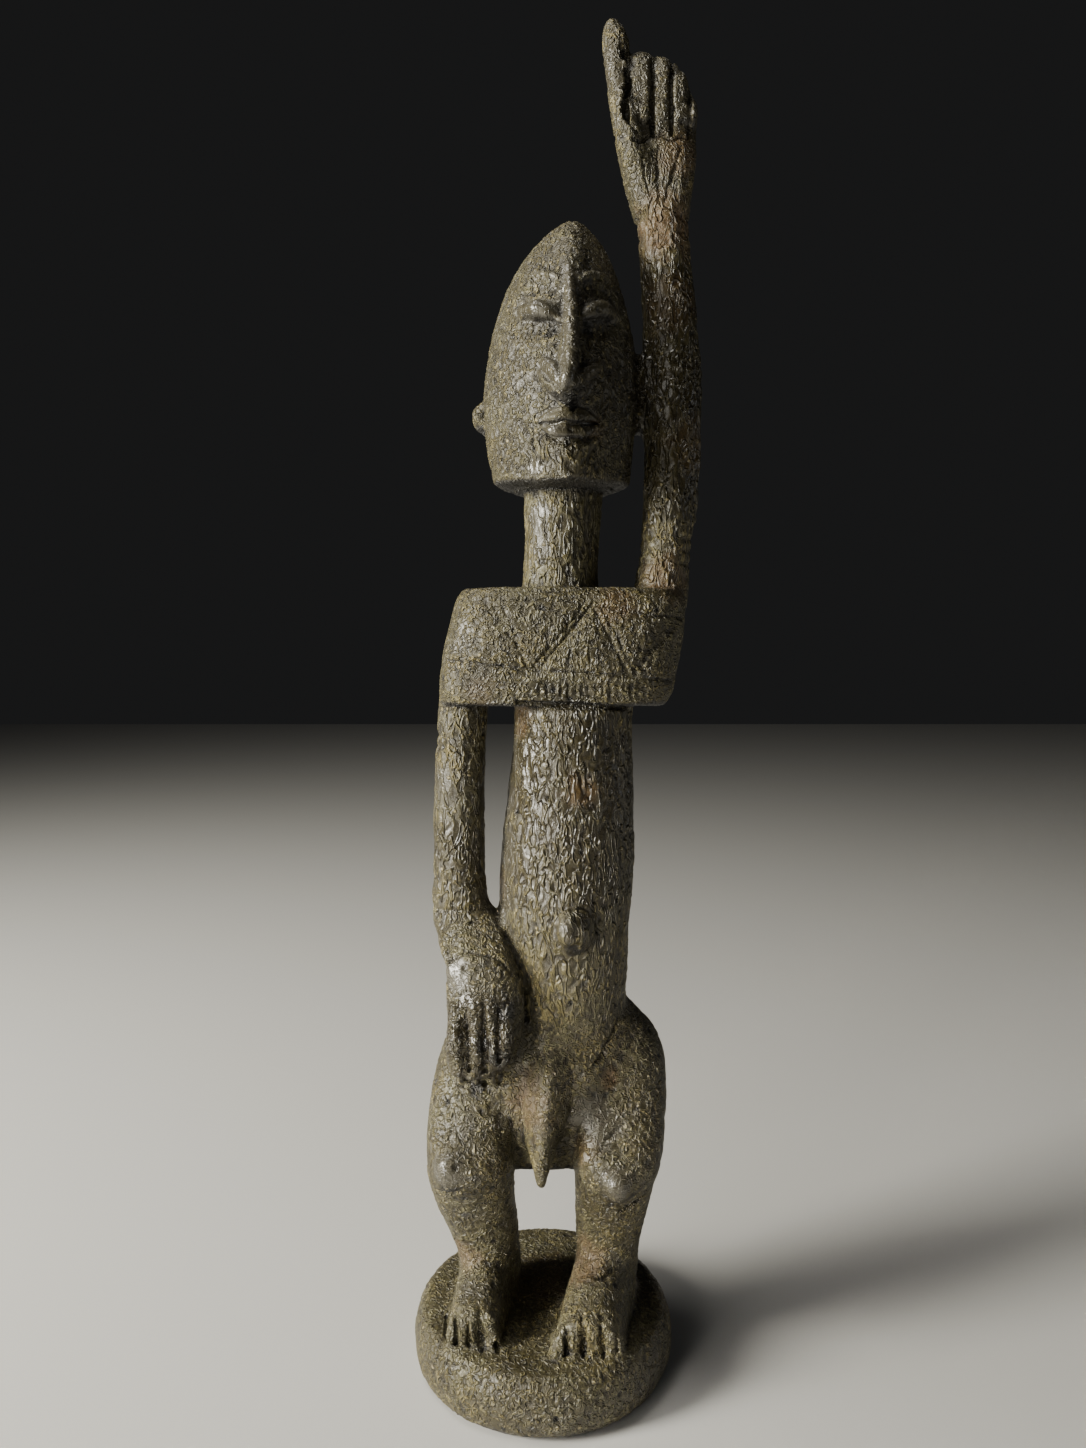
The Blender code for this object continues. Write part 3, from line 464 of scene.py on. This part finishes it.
class Block:
    """A dense block of signed distances, in millimetres, negative inside the wood."""

    def __init__(self, mesh):
        points = np.empty(len(mesh.vertices) * 3, np.float32)
        mesh.vertices.foreach_get("co", points)
        points = points.reshape(-1, 3) * MILLIMETRES
        mesh.calc_loop_triangles()
        triangles = np.empty(len(mesh.loop_triangles) * 3, np.int32)
        mesh.loop_triangles.foreach_get("vertices", triangles)
        grid = openvdb.FloatGrid.createLevelSetFromPolygons(
            points,
            triangles=triangles.reshape(-1, 3).astype(np.uint32),
            transform=openvdb.createLinearTransform(voxelSize=VOXEL),
            halfWidth=BAND,
        )
        margin = BAND + SPARE
        self.first = np.floor(points.min(0) / VOXEL).astype(int) - margin
        last = np.ceil(points.max(0) / VOXEL).astype(int) + margin
        self.values = np.empty(last - self.first + 1, np.float32)
        grid.copyToArray(self.values, ijk=tuple(int(i) for i in self.first))
        self.skin = self.values

    def window(self, low, high):
        """The slices of the block between two corners, and its three coordinates there."""
        a = np.floor(np.array(low) / VOXEL).astype(int) - self.first
        b = np.ceil(np.array(high) / VOXEL).astype(int) - self.first + 1
        a, b = np.maximum(a, 0), np.minimum(b, self.values.shape)
        x, y, z = (
            ((np.arange(a[k], b[k]) + self.first[k]) * VOXEL).astype(np.float32) for k in range(3)
        )
        grid = (x[:, None, None], y[None, :, None], z[None, None, :])
        return tuple(slice(a[k], b[k]) for k in range(3)), grid

    def soften(self):
        """Rounds the facets of the solid off, and keeps the finer forms in their boxes."""
        raw = self.values
        self.values = blur(raw, BROAD_BLUR / VOXEL) - BROAD_SWELL
        for low, high in FINE_BOXES.values():
            where, grid = self.window(np.array(low) - FEATHER, np.array(high) + FEATHER)
            fine = blur(raw[where], FINE_BLUR / VOXEL) - FINE_SWELL
            weight = np.float32(1.0)
            for axis in range(3):
                weight = weight * smooth(low[axis] - FEATHER, low[axis], grid[axis])
                weight = weight * (1.0 - smooth(high[axis], high[axis] + FEATHER, grid[axis]))
            self.values[where] += weight * (fine - self.values[where])
        self.square_off()
        self.skin = self.values.copy()

    def square_off(self):
        """Runs the outline of the head straight down to a crisp underside."""
        left, depth = JAW_BOX
        low, high = (-left, -depth, JAW_BOTTOM - JAW_BELOW), (JAW_SIDE, depth, JAW_WALL)
        where, grid = self.window(low, high)
        values = self.values[where]
        x, y = grid[0][:, :, 0], grid[1][:, :, 0]
        aside = np.minimum(((x - NECK_MIDDLE[0]) / JAW_HALF) ** 2, JAW_RISE_MOST)
        bottom = JAW_BOTTOM + JAW_RISE * aside
        off_neck = np.hypot(x - NECK_MIDDLE[0], y - NECK_MIDDLE[1]) - NECK_REACH
        wall = values[:, :, -1]
        for k, level in enumerate(grid[2].ravel()):
            slant = (wall + JAW_CHAMFER + bottom - level) * np.float32(math.sqrt(0.5))
            jaw = np.maximum(np.maximum(wall, bottom - level), slant)
            values[:, :, k] = np.minimum(np.maximum(values[:, :, k], off_neck), jaw)

    def flatten_underside(self):
        """Cuts the wood off at the ground."""
        heights = (self.first[2] + np.arange(self.values.shape[2])) * np.float32(VOXEL)
        self.values = np.maximum(self.values, -heights[None, None, :])

    def sample(self, values, points):
        """The values of a block at any places, read between its voxels."""
        q = points / VOXEL - self.first
        cell = np.clip(np.floor(q).astype(np.int32), 0, np.array(values.shape) - 2)
        f = (q - cell).astype(np.float32)
        out = np.zeros(len(points), np.float32)
        for corner in range(8):
            step = [corner >> 2 & 1, corner >> 1 & 1, corner & 1]
            weight = np.ones(len(points), np.float32)
            for axis in range(3):
                weight *= f[:, axis] if step[axis] else 1.0 - f[:, axis]
            i, j, k = (cell[:, axis] + step[axis] for axis in range(3))
            out += weight * values[i, j, k]
        return out

    def seen(self, px, py):
        """The place of the softened surface that the camera sees at a pixel, and the way out."""
        cos, sin = math.cos(CAMERA_PITCH), math.sin(CAMERA_PITCH)
        across, up = (px - PHOTO_WIDTH / 2) / FOCAL_PX, (PHOTO_HEIGHT / 2 - py) / FOCAL_PX
        ray = np.array([across, cos + up * sin, -sin + up * cos])
        start = np.array([0.0, -CAMERA_BACK, CAMERA_HEIGHT])
        reach = np.arange(CAMERA_BACK - LOOK_NEAR, CAMERA_BACK + LOOK_FAR, LOOK_STEP)
        values = self.sample(self.skin, start + reach[:, None] * ray)
        inside = np.nonzero(values < 0)[0]
        place = start + reach[inside[0] if len(inside) else values.argmin()] * ray
        nudges = place + np.vstack([np.eye(3), -np.eye(3)]) * VOXEL
        near = self.sample(self.skin, nudges)
        out = near[:3] - near[3:]
        return place, out / max(float(np.linalg.norm(out)), TINY)

    def stroke(self, rows, cut):
        """Raises a rounded form along rows of pixel, width and height, or cuts it in."""
        sign = -1.0 if cut else 1.0
        places, radii = [], []
        for px, py, width, height in smooth_rows(rows):
            place, out = self.seen(px, py)
            radius = (0.25 * width * width + height * height) / (2.0 * height)
            places.append(place + sign * (height - radius) * out)
            radii.append(radius)
        reach = max(radii) + STROKE_MARGIN
        where, grid = self.window(np.min(places, axis=0) - reach, np.max(places, axis=0) + reach)
        chain = None
        for k in range(len(places) - 1):
            rod = rod_distance(grid, places[k], places[k + 1], radii[k], radii[k + 1])
            chain = rod if chain is None else np.minimum(chain, rod)
        if cut:
            self.values[where] = -join(-self.values[where], chain, CUT_SOFT)
        else:
            self.values[where] = join(self.values[where], chain, BOSS_SOFT)


def smooth_rows(rows):
    """Rows along a smooth curve through the given ones."""
    rows = np.array(rows, float)
    ends = np.vstack([2 * rows[0] - rows[1], rows, 2 * rows[-1] - rows[-2]])
    out = []
    for k in range(len(rows) - 1):
        a, b, c, d = ends[k : k + 4]
        for t in np.arange(PATH_STEPS) / PATH_STEPS:
            bend = 2 * a - 5 * b + 4 * c - d + t * (3 * (b - c) + d - a)
            row = b + 0.5 * t * (c - a + t * bend)
            row[2:] = b[2:] + t * (c[2:] - b[2:])
            out.append(row)
    return out + [rows[-1]]


def rod_distance(grid, a, b, radius_a, radius_b):
    """Distance to a rod with round ends between two places."""
    along = b - a
    length = np.float32(max(float(along @ along), TINY))
    along = along.astype(np.float32)
    x, y, z = (grid[k] - np.float32(a[k]) for k in range(3))
    t = np.clip((x * along[0] + y * along[1] + z * along[2]) / length, 0.0, 1.0)
    x, y, z = (v - t * along[k] for k, v in enumerate((x, y, z)))
    radius = (radius_a + t * (radius_b - radius_a)).astype(np.float32)
    return np.sqrt(x * x + y * y + z * z) - radius


def join(a, b, soft):
    """The union of two distances, with a soft fillet between them."""
    h = np.maximum(soft - np.abs(a - b), 0.0) / soft
    return np.minimum(a, b) - h * h * soft * 0.25


def zigzag(block):
    """The worn double zigzag of the shoulder band."""
    chance = np.random.default_rng(ZIGZAG_SEED)
    for start, end, depth in ZIGZAG:
        for shift in (0, ZIGZAG_PAIR):
            rows = []
            for share in np.linspace(0.0, 1.0, ZIGZAG_POINTS):
                px, py = (
                    a + share * (b - a) + ZIGZAG_WANDER * chance.uniform(-1, 1)
                    for a, b in zip(start, end)
                )
                wear = chance.uniform(*ZIGZAG_WEAR)
                rows.append((px + shift, py, ZIGZAG_WIDTH, depth * wear))
            block.stroke(rows, cut=True)


def band_lines(block):
    """The border lines of the shoulder band, and the hatching beside its zigzag."""
    for line in (BORDER_TOP, BORDER_BOTTOM):
        block.stroke([(px, py, BORDER_WIDTH, BORDER_DEPTH) for px, py in line], cut=True)
    run, drop = HATCH_RUN
    hatching = [((px, py), (px + run, py + drop)) for px, py in HATCH]
    hatching += [[(px, py) for py in EDGE_HATCH_HEIGHTS] for px in range(*EDGE_HATCH)]
    for line in hatching:
        block.stroke([(px, py, HATCH_WIDTH, HATCH_DEPTH) for px, py in line], cut=True)


def carve(block):
    """The forms that the photograph shows on the figure, raised first and then cut."""
    for rows in HOLLOWS.values():
        block.stroke(rows, cut=True)
    for rows in RAISED.values():
        block.stroke(rows, cut=False)
    for rows in CUT.values():
        block.stroke(rows, cut=True)
    zigzag(block)
    band_lines(block)
    block.flatten_underside()


def surface_mesh(block):
    """The points and the four-sided faces of the block's surface, in millimetres."""
    grid = openvdb.FloatGrid(BAND * VOXEL)
    grid.copyFromArray(block.values, ijk=tuple(int(i) for i in block.first))
    grid.transform = openvdb.createLinearTransform(voxelSize=VOXEL)
    points, quads = grid.convertToQuads(isovalue=0.0)
    return points.astype(np.float32), quads.astype(np.int32)


def lattice(x, y, z, seed):
    """A whole number for each corner of a lattice, the same every time."""
    mixed = x * np.uint32(0x8DA6B343) ^ y * np.uint32(0xD8163841) ^ z * np.uint32(0xCB1AB31F)
    mixed = (mixed + np.uint32(seed) * np.uint32(0x9E3779B1)) * np.uint32(0x85EBCA6B)
    mixed ^= mixed >> np.uint32(13)
    mixed *= np.uint32(0xC2B2AE35)
    return mixed ^ mixed >> np.uint32(16)


def corners(points, size, seed):
    """For each lattice corner round the points: its whole number, and the way from it to them."""
    scaled = points / np.array(size, np.float32)
    cell = np.floor(scaled)
    inside = scaled - cell
    cell = cell.astype(np.int64).astype(np.uint32)
    for corner in range(8):
        step = np.array([corner >> 2 & 1, corner >> 1 & 1, corner & 1], np.uint32)
        x, y, z = (cell + step).T
        yield lattice(x, y, z, seed), inside - step.astype(np.float32)


def byte(mixed, which):
    """One of the four bytes of each whole number."""
    return (mixed >> np.uint32(8 * which) & np.uint32(255)).astype(np.float32)


def noise(points, size, seed):
    """Soft noise from about -1 to 1, with features of this size in millimetres."""
    out = np.zeros(len(points), np.float32)
    for mixed, away in corners(points, size, seed):
        fade = 1.0 - np.abs(away)
        fade = fade * fade * fade * (fade * (fade * 6.0 - 15.0) + 10.0)
        slope = np.zeros(len(points), np.float32)
        for axis in range(3):
            slope += (byte(mixed, axis) / 127.5 - 1.0) * away[:, axis]
        out += slope * fade[:, 0] * fade[:, 1] * fade[:, 2]
    return NOISE_GAIN * out


def spots(points, size, share, seed):
    """Round spots from 0 to 1, one in some of the cells of a lattice of this size."""
    out = np.zeros(len(points), np.float32)
    for mixed, away in corners(points, size, seed):
        gap = np.zeros(len(points), np.float32)
        for axis in range(3):
            jitter = byte(mixed, axis) / 255.0 - 0.5
            gap += (away[:, axis] - SPOT_JITTER * jitter) ** 2
        chosen = byte(mixed, 3) / 255.0 < share
        out = np.maximum(out, np.where(chosen, 1.0 - gap / SPOT_REACH, 0.0))
    return np.clip(out, 0.0, 1.0)


def worms(points, size, width, seed):
    """Narrow wriggling ridges, from 0 to 1: the lines along which noise changes its sign."""
    return 1.0 - smooth(0.0, width, np.abs(noise(points, size, seed)))


def distance_to(block, points, px, py):
    """How far each point is from the place that the camera sees at a pixel."""
    centre, _ = block.seen(px, py)
    return np.sqrt(((points - centre.astype(np.float32)) ** 2).sum(1))


def patches(block, points, places, seed):
    """A mask from 0 to 1 round places on the surface, with ragged edges."""
    ragged = RAGGED * noise(points, RAGGED_SIZE, seed)
    mask = np.zeros(len(points), np.float32)
    for px, py, radius, strength in places:
        gap = distance_to(block, points, px, py) / radius
        mask = np.maximum(mask, strength * (1.0 - smooth(*PLACE_EDGE, gap + ragged)))
    return mask


def swells(block, points):
    """The low swellings."""
    out = np.zeros(len(points), np.float32)
    for px, py, radius, height in SWELLS:
        gap = distance_to(block, points, px, py) / radius
        out += height * (1.0 - smooth(0.0, 1.0, gap))
    return out


def rings(points):
    """The grooves round the arms."""
    out = np.zeros(len(points), np.float32)
    level = points[:, 2] + RING_WANDER * noise(points, RING_WANDER_SIZE, SEEDS["ring"])
    for side, heights in ARM_RINGS.items():
        on_arm = (side * points[:, 0] > RING_OUTSIDE).astype(np.float32)
        for height in heights:
            out -= RING_DEPTH * on_arm * np.exp(-(((level - height) / RING_WIDTH) ** 2))
    return out


def stringy_parts(points):
    """Where the wrinkles hang in long strings: the torso with its arm, the neck, the raised arm."""
    x, z = points[:, 0], points[:, 2]
    torso, neck, arm = (
        smooth(*begins, z) * (1.0 - smooth(*ends, z))
        for begins, ends in (STRINGY_TORSO, STRINGY_NECK, STRINGY_ARM)
    )
    torso *= 1.0 - smooth(*LOWERED_SIDE, -x) * (1.0 - smooth(*LOWERED_TOP, z))
    arm *= smooth(*RAISED_SIDE, x)
    return np.maximum.reduce([torso, neck, arm])


def relief(points, calm, crusty, stringy):
    """How far the surface stands out at each point, in millimetres, and how raised it looks."""
    bends = [noise(points, WARP_SIZE, SEEDS["warp"] + axis) for axis in range(3)]
    warped = points + WARP * np.stack(bends, axis=1)
    wrinkle = worms(warped, WRINKLE_SIZE, LINE_WIDTH, SEEDS["wrinkle"])
    curl = worms(warped, CURL_SIZE, LINE_WIDTH, SEEDS["curl"])
    wrinkles = wrinkle * (WRINKLE + WRINKLE_STRINGY * stringy)
    lines = np.maximum(wrinkles, CURL * curl * (1.0 - STRINGY_CURL * stringy))
    crust_patch = smooth(*CRUST_PATCH_EDGE, noise(points, CRUST_PATCH_SIZE, SEEDS["crust patch"]))
    crust = spots(warped, CRUST_SIZE, CRUST_SHARE, SEEDS["crust"])
    big_crust = spots(warped, BIG_CRUST * CRUST_SIZE, BIG_CRUST_SHARE, SEEDS["big crust"])
    crust_depth = GRAIN + CRUST * np.maximum(crusty, CRUST_PATCHY * crust_patch)
    grains = np.maximum(crust, big_crust) * crust_depth
    pits = smooth(*PIT_EDGE, spots(points, PIT_SIZE, PIT_SHARE, SEEDS["pit"]))
    on_head = smooth(*HEAD_BOTTOM, points[:, 2]) * (1.0 - smooth(*RAISED_SIDE, points[:, 0]))
    rougher = 1.0 + HEAD_ROUGHER * on_head
    patch = smooth(*PATCH_EDGE, noise(points, PATCH_SIZE, SEEDS["patch"]))
    rough = (1.0 - CALM_SMOOTHER * calm) * (ROUGH_LEAST + ROUGH_PATCHY * patch) * rougher
    fine = (lines + grains) * rough - PIT * pits
    height = np.clip(fine / (FULL_HEIGHT * rougher**HEAD_CLEANER), -1.0, 1.0)
    broad = TOOL_MARKS * noise(points, TOOL_MARK_SIZE, SEEDS["tool mark"])
    broad += 0.5 * TOOL_MARKS * noise(points, SMALL_MARK_SIZE, SEEDS["small mark"])
    return fine - SINK + broad + rings(points), height


def vertex_normals(points, quads):
    """The way out of the surface at each point."""
    across = points[quads[:, 2]] - points[quads[:, 0]]
    along = points[quads[:, 3]] - points[quads[:, 1]]
    faces = np.cross(across, along)
    out = np.zeros_like(points)
    count = len(points)
    for corner in range(4):
        for axis in range(3):
            out[:, axis] += np.bincount(quads[:, corner], weights=faces[:, axis], minlength=count)
    return out / np.maximum(np.linalg.norm(out, axis=1, keepdims=True), TINY)


def dress(block):
    """The finished surface: its points, faces, normals and what the material reads on each point."""
    points, quads = surface_mesh(block)
    normals = vertex_normals(points, quads)
    first, second, third = (points[quads[:, k]] for k in range(3))
    if (first * np.cross(second, third)).sum() < 0:
        quads = quads[:, ::-1]
        normals = -normals
    edges = block.sample(blur(block.values, EDGE_BLUR / VOXEL), points)
    tables = {
        "worn": WORN_AND_SHEEN, "ochre": OCHRE, "crusty": CRUSTY, "bare": BARE, "stringy": STRINGY,
        "shaded_hollows": SHADED_HOLLOWS, "calm": CALM,
    }
    masks = {look: patches(block, points, rows, SEEDS[look]) for look, rows in tables.items()}
    worn = np.maximum(masks["worn"], EDGE_WEAR * smooth(*EDGE_WORN, edges))
    stringy = np.maximum(stringy_parts(points), masks["stringy"])
    calm = np.maximum(worn, masks["calm"])
    moved, height = relief(points, calm, masks["crusty"], stringy)
    moved += swells(block, points)
    moved *= smooth(*UNDERSIDE_EDGE, points[:, 2])
    points = points + moved[:, None] * normals
    points[:, 2] = np.maximum(points[:, 2], 0.0)
    height += CALM_DUST * calm * (1.0 - worn)
    # Painted shade: the listed shaded hollows and the faces turned down are marked lower, so that the
    # material paints them darker
    height -= HOLLOW_SHADE * masks["shaded_hollows"] + UNDERSIDE_SHADE * smooth(*FACING_DOWN, -normals[:, 2])
    looks = {
        "height": height, "edge": edges, "worn": worn, "ochre": masks["ochre"],
        "bare": masks["bare"], "stringy": stringy, "calm": calm,
    }
    return points, quads, vertex_normals(points, quads), looks


def figure_part(name, points, quads, normals, looks, material):
    """One piece of the figure: the faces given, with their own points."""
    used, faces = np.unique(quads, return_inverse=True)
    faces = faces.reshape(-1, 4)
    mesh = bpy.data.meshes.new(name)
    mesh.vertices.add(len(used))
    mesh.vertices.foreach_set("co", (points[used] / MILLIMETRES).astype(np.float32).ravel())
    mesh.loops.add(faces.size)
    mesh.loops.foreach_set("vertex_index", faces.astype(np.int32).ravel())
    mesh.polygons.add(len(faces))
    mesh.polygons.foreach_set("loop_start", np.arange(0, faces.size, 4, dtype=np.int32))
    mesh.update(calc_edges=True)
    for look, values in looks.items():
        layer = mesh.attributes.new(look, "FLOAT", "POINT")
        layer.data.foreach_set("value", values[used].astype(np.float32))
    mesh.shade_smooth()
    mesh.normals_split_custom_set_from_vertices(normals[used].tolist())
    mesh.materials.append(material)
    piece = bpy.data.objects.new(name, mesh)
    bpy.context.scene.collection.objects.link(piece)
    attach(piece, "root")
    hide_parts(NODE)


def figure(material):
    """The whole figure, parted by height and at the raised arm."""
    block = Block(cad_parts[NODE].data)
    block.soften()
    carve(block)
    points, quads, normals, looks = dress(block)
    names = [*PART_TOPS, HEAD_PART, ARM_PART]
    part = np.searchsorted(list(PART_TOPS.values()), points[quads[:, 0], 2])
    part += (part == len(PART_TOPS)) & (points[quads[:, 0], 0] > ARM_FROM)
    for k, name in enumerate(names):
        figure_part(name, points, quads[part == k], normals, looks, material)


class Nodes:
    """Short calls for the nodes of one material."""

    def __init__(self, name):
        self.material = bpy.data.materials.new(name)
        self.material.use_nodes = True
        self.tree = self.material.node_tree
        self.shader = self.tree.nodes["Principled BSDF"]

    def add(self, kind, inputs=None, **settings):
        """A new node, with its settings and its inputs."""
        node = self.tree.nodes.new(kind)
        for key, value in settings.items():
            setattr(node, key, value)
        for key, value in (inputs or {}).items():
            self.put(node.inputs[key], value)
        return node

    def put(self, socket, value):
        """Links a socket to another, or gives it a value."""
        if isinstance(value, bpy.types.NodeSocket):
            self.tree.links.new(value, socket)
        else:
            socket.default_value = value

    def look(self, name):
        """What is kept under a name on the points of the mesh."""
        return self.add("ShaderNodeAttribute", attribute_name=name).outputs["Fac"]

    def math(self, operation, a, b=0.0):
        return self.add("ShaderNodeMath", {0: a, 1: b}, operation=operation).outputs[0]

    def plus(self, a, b):
        return self.math("ADD", a, b)

    def times(self, a, b):
        return self.math("MULTIPLY", a, b)

    def most(self, a, b):
        return self.math("MAXIMUM", a, b)

    def step(self, value, low, high, to_low=0.0, to_high=1.0):
        """A soft step between two values, while another goes from low to high."""
        ends = {"From Min": low, "From Max": high, "To Min": to_low, "To Max": to_high}
        inputs = {"Value": value, **ends}
        node = self.add("ShaderNodeMapRange", inputs, interpolation_type="SMOOTHSTEP")
        return node.outputs["Result"]

    def noise(self, place, per_metre, detail):
        """Soft noise, from 0 to 1."""
        inputs = {"Vector": place, "Scale": per_metre, "Detail": detail}
        return self.add("ShaderNodeTexNoise", inputs).outputs["Fac"]

    def worms(self, place, per_metre):
        """Narrow wriggling lines, 1 along their middle."""
        inputs = {"Vector": place, "Scale": per_metre, "Detail": 1.0, "Distortion": 0.8}
        shade = self.add("ShaderNodeTexNoise", inputs).outputs["Fac"]
        return self.step(self.math("ABSOLUTE", self.math("SUBTRACT", shade, 0.5)), 0.09, 0.0)

    def dots(self, place, per_metre, share):
        """Round grains, 1 in their middle, in this share of the cells."""
        cells = self.add("ShaderNodeTexVoronoi", {"Vector": place, "Scale": per_metre})
        parts = self.add("ShaderNodeSeparateColor", {"Color": cells.outputs["Color"]})
        chosen = self.math("LESS_THAN", parts.outputs["Red"], share)
        return self.times(self.step(cells.outputs["Distance"], 0.36, 0.12), chosen)

    def mix(self, factor, a, b):
        """A number between two others."""
        return self.add("ShaderNodeMix", {0: factor, 2: a, 3: b}, data_type="FLOAT").outputs[0]

    def blend(self, factor, a, b):
        """A colour between two others."""
        return self.add("ShaderNodeMix", {0: factor, 6: a, 7: b}, data_type="RGBA").outputs[2]


def wood():
    """Old dark hardwood: dust on what stands out, painted shade in the hollows, tinted places, and
    worn places with a painted sheen.
    """
    n = Nodes("wood")
    place = n.add("ShaderNodeTexCoord").outputs["Object"]
    height, edge, stringy = n.look("height"), n.look("edge"), n.look("stringy")
    worn, bare, calm, ochre = n.look("worn"), n.look("bare"), n.look("calm"), n.look("ochre")

    # The patterns: clouds, grains of dust, and lines that are long where the wrinkles are
    cloud = n.noise(place, CLOUDS, 4.0)
    speckle = n.noise(place, SPECKLES, 3.0)
    grain = n.noise(place, FINE_GRAIN, 2.0)
    stretched = n.add("ShaderNodeMapping", {"Vector": place, "Scale": STRING_STRETCH})
    long_lines = n.worms(stretched.outputs["Vector"], LONG_LINES)
    big_lines = n.mix(stringy, n.worms(place, SHORT_LINES), long_lines)
    small_lines = n.worms(place, SMALL_LINES)
    lines = n.most(big_lines, n.times(small_lines, 0.25))
    grains = n.dots(place, DUST_GRAINS, DUST_GRAIN_SHARE)

    # How raised and how glossy each place is, and how much dust lies on it
    gloss = n.most(worn, n.times(bare, 0.8))
    # The edge term darkens the hollows as painted shade and puts dust on the edges; the height also
    # carries painted shade
    raised = n.plus(height, n.times(edge, 0.35))
    raised = n.plus(raised, n.step(speckle, 0.3, 0.7, -0.12, 0.12))
    ridge = n.plus(raised, n.times(lines, n.step(calm, 0.0, 1.0, 0.85, 0.2)))
    dusty = n.step(n.plus(ridge, n.step(cloud, 0.3, 0.7, -0.15, 0.15)), 0.75, 1.35)
    dusty = n.times(dusty, n.step(bare, 0.0, 1.0, 1.0, 0.2))
    settled = n.times(n.step(raised, -0.1, 0.6), n.step(gloss, 0.0, 1.0, 1.0, 0.1))
    specks = n.times(grains, n.step(gloss, 0.0, 1.0, 0.6, 0.35))
    stain = n.times(ochre, n.step(speckle, 0.25, 0.6, 0.35, 0.85))
    wear = n.times(worn, n.step(speckle, 0.35, 0.6, 0.85, 0.5))

    colour = n.blend(settled, n.blend(bare, DARK_WOOD, BROWN_WOOD), OLD_DUST)
    colour = n.blend(dusty, colour, n.blend(n.step(cloud, 0.4, 0.6), DUST, GREY_DUST))
    colour = n.blend(specks, colour, PALE_SPECK)
    # Painted shade: what lies lowest, the places listed as shaded and the faces turned down go almost
    # black
    colour = n.blend(n.step(raised, 0.1, -0.35), colour, PAINTED_SHADE)
    colour = n.blend(stain, colour, OCHRE_COLOUR)
    # Worn places: the real wear, painted lighter as a sheen
    colour = n.blend(wear, colour, WORN_SHEEN_COLOUR)

    roughness = n.step(gloss, 0.0, 1.0, ROUGH_WOOD, ROUGH_WORN)
    roughness = n.plus(roughness, n.step(grain, 0.3, 0.7, -0.05, 0.05))

    bump = n.plus(n.times(speckle, 0.2), n.times(grain, 0.08))
    bump = n.plus(bump, n.times(small_lines, 0.12))
    bump = n.times(bump, n.step(n.most(gloss, calm), 0.0, 1.0, 1.0, 0.12))
    bump = n.plus(bump, n.times(big_lines, n.step(calm, 0.0, 0.9, 1.3, 0.15)))
    bump = n.plus(bump, n.times(grains, n.step(calm, 0.0, 0.9, 0.6, 0.15)))
    inputs = {"Strength": BUMP_STRENGTH, "Distance": BUMP_DISTANCE, "Height": bump}
    bumped = n.add("ShaderNodeBump", inputs)

    n.put(n.shader.inputs["Base Color"], colour)
    n.put(n.shader.inputs["Roughness"], roughness)
    n.put(n.shader.inputs["Normal"], bumped.outputs["Normal"])
    n.put(n.shader.inputs["Specular IOR Level"], SPECULAR)
    return n.material


def stage_floor():
    """A plain pale floor."""
    n = Nodes("floor")
    n.put(n.shader.inputs["Base Color"], FLOOR_COLOUR)
    n.put(n.shader.inputs["Roughness"], FLOOR_ROUGHNESS)
    mesh = bpy.data.meshes.new("floor")
    low, high = -FLOOR_HALF, FLOOR_HALF
    corner_points = [(low, low, 0), (high, low, 0), (high, high, 0), (low, high, 0)]
    mesh.from_pydata(corner_points, [], [(0, 1, 2, 3)])
    mesh.materials.append(n.material)
    floor = bpy.data.objects.new("floor", mesh)
    bpy.context.scene.collection.objects.link(floor)


def camera():
    """The camera of the photograph."""
    seen_by = bpy.data.objects.new("camera", bpy.data.cameras.new("camera"))
    seen_by.data.sensor_fit = "VERTICAL"
    seen_by.data.sensor_height = SENSOR
    seen_by.data.lens = FOCAL_PX / PHOTO_HEIGHT * SENSOR
    seen_by.data.clip_start = CLIP_START / MILLIMETRES
    seen_by.location = (0.0, -CAMERA_BACK / MILLIMETRES, CAMERA_HEIGHT / MILLIMETRES)
    seen_by.rotation_euler = (math.pi / 2 - CAMERA_PITCH, 0.0, 0.0)
    bpy.context.scene.collection.objects.link(seen_by)
    bpy.context.scene.camera = seen_by


def lamp(name, place, target, size, power, colour, spread):
    """One area lamp, turned to its target."""
    light = bpy.data.objects.new(name, bpy.data.lights.new(name, "AREA"))
    light.data.energy = power
    light.data.shape = "RECTANGLE"
    light.data.size, light.data.size_y = size
    light.data.color = colour
    light.data.spread = math.radians(spread)
    light.location = place
    light.rotation_euler = (Vector(target) - light.location).to_track_quat("-Z", "Y").to_euler()
    bpy.context.scene.collection.objects.link(light)


def lights():
    """The lamps, and a dim surround."""
    for name, settings in LAMPS.items():
        lamp(name, *settings)
    world = bpy.data.worlds.new("world")
    bpy.context.scene.world = world
    world.use_nodes = True
    background = world.node_tree.nodes["Background"]
    background.inputs["Color"].default_value = SURROUND_COLOUR
    background.inputs["Strength"].default_value = SURROUND_STRENGTH


figure(wood())
stage_floor()
camera()
lights()
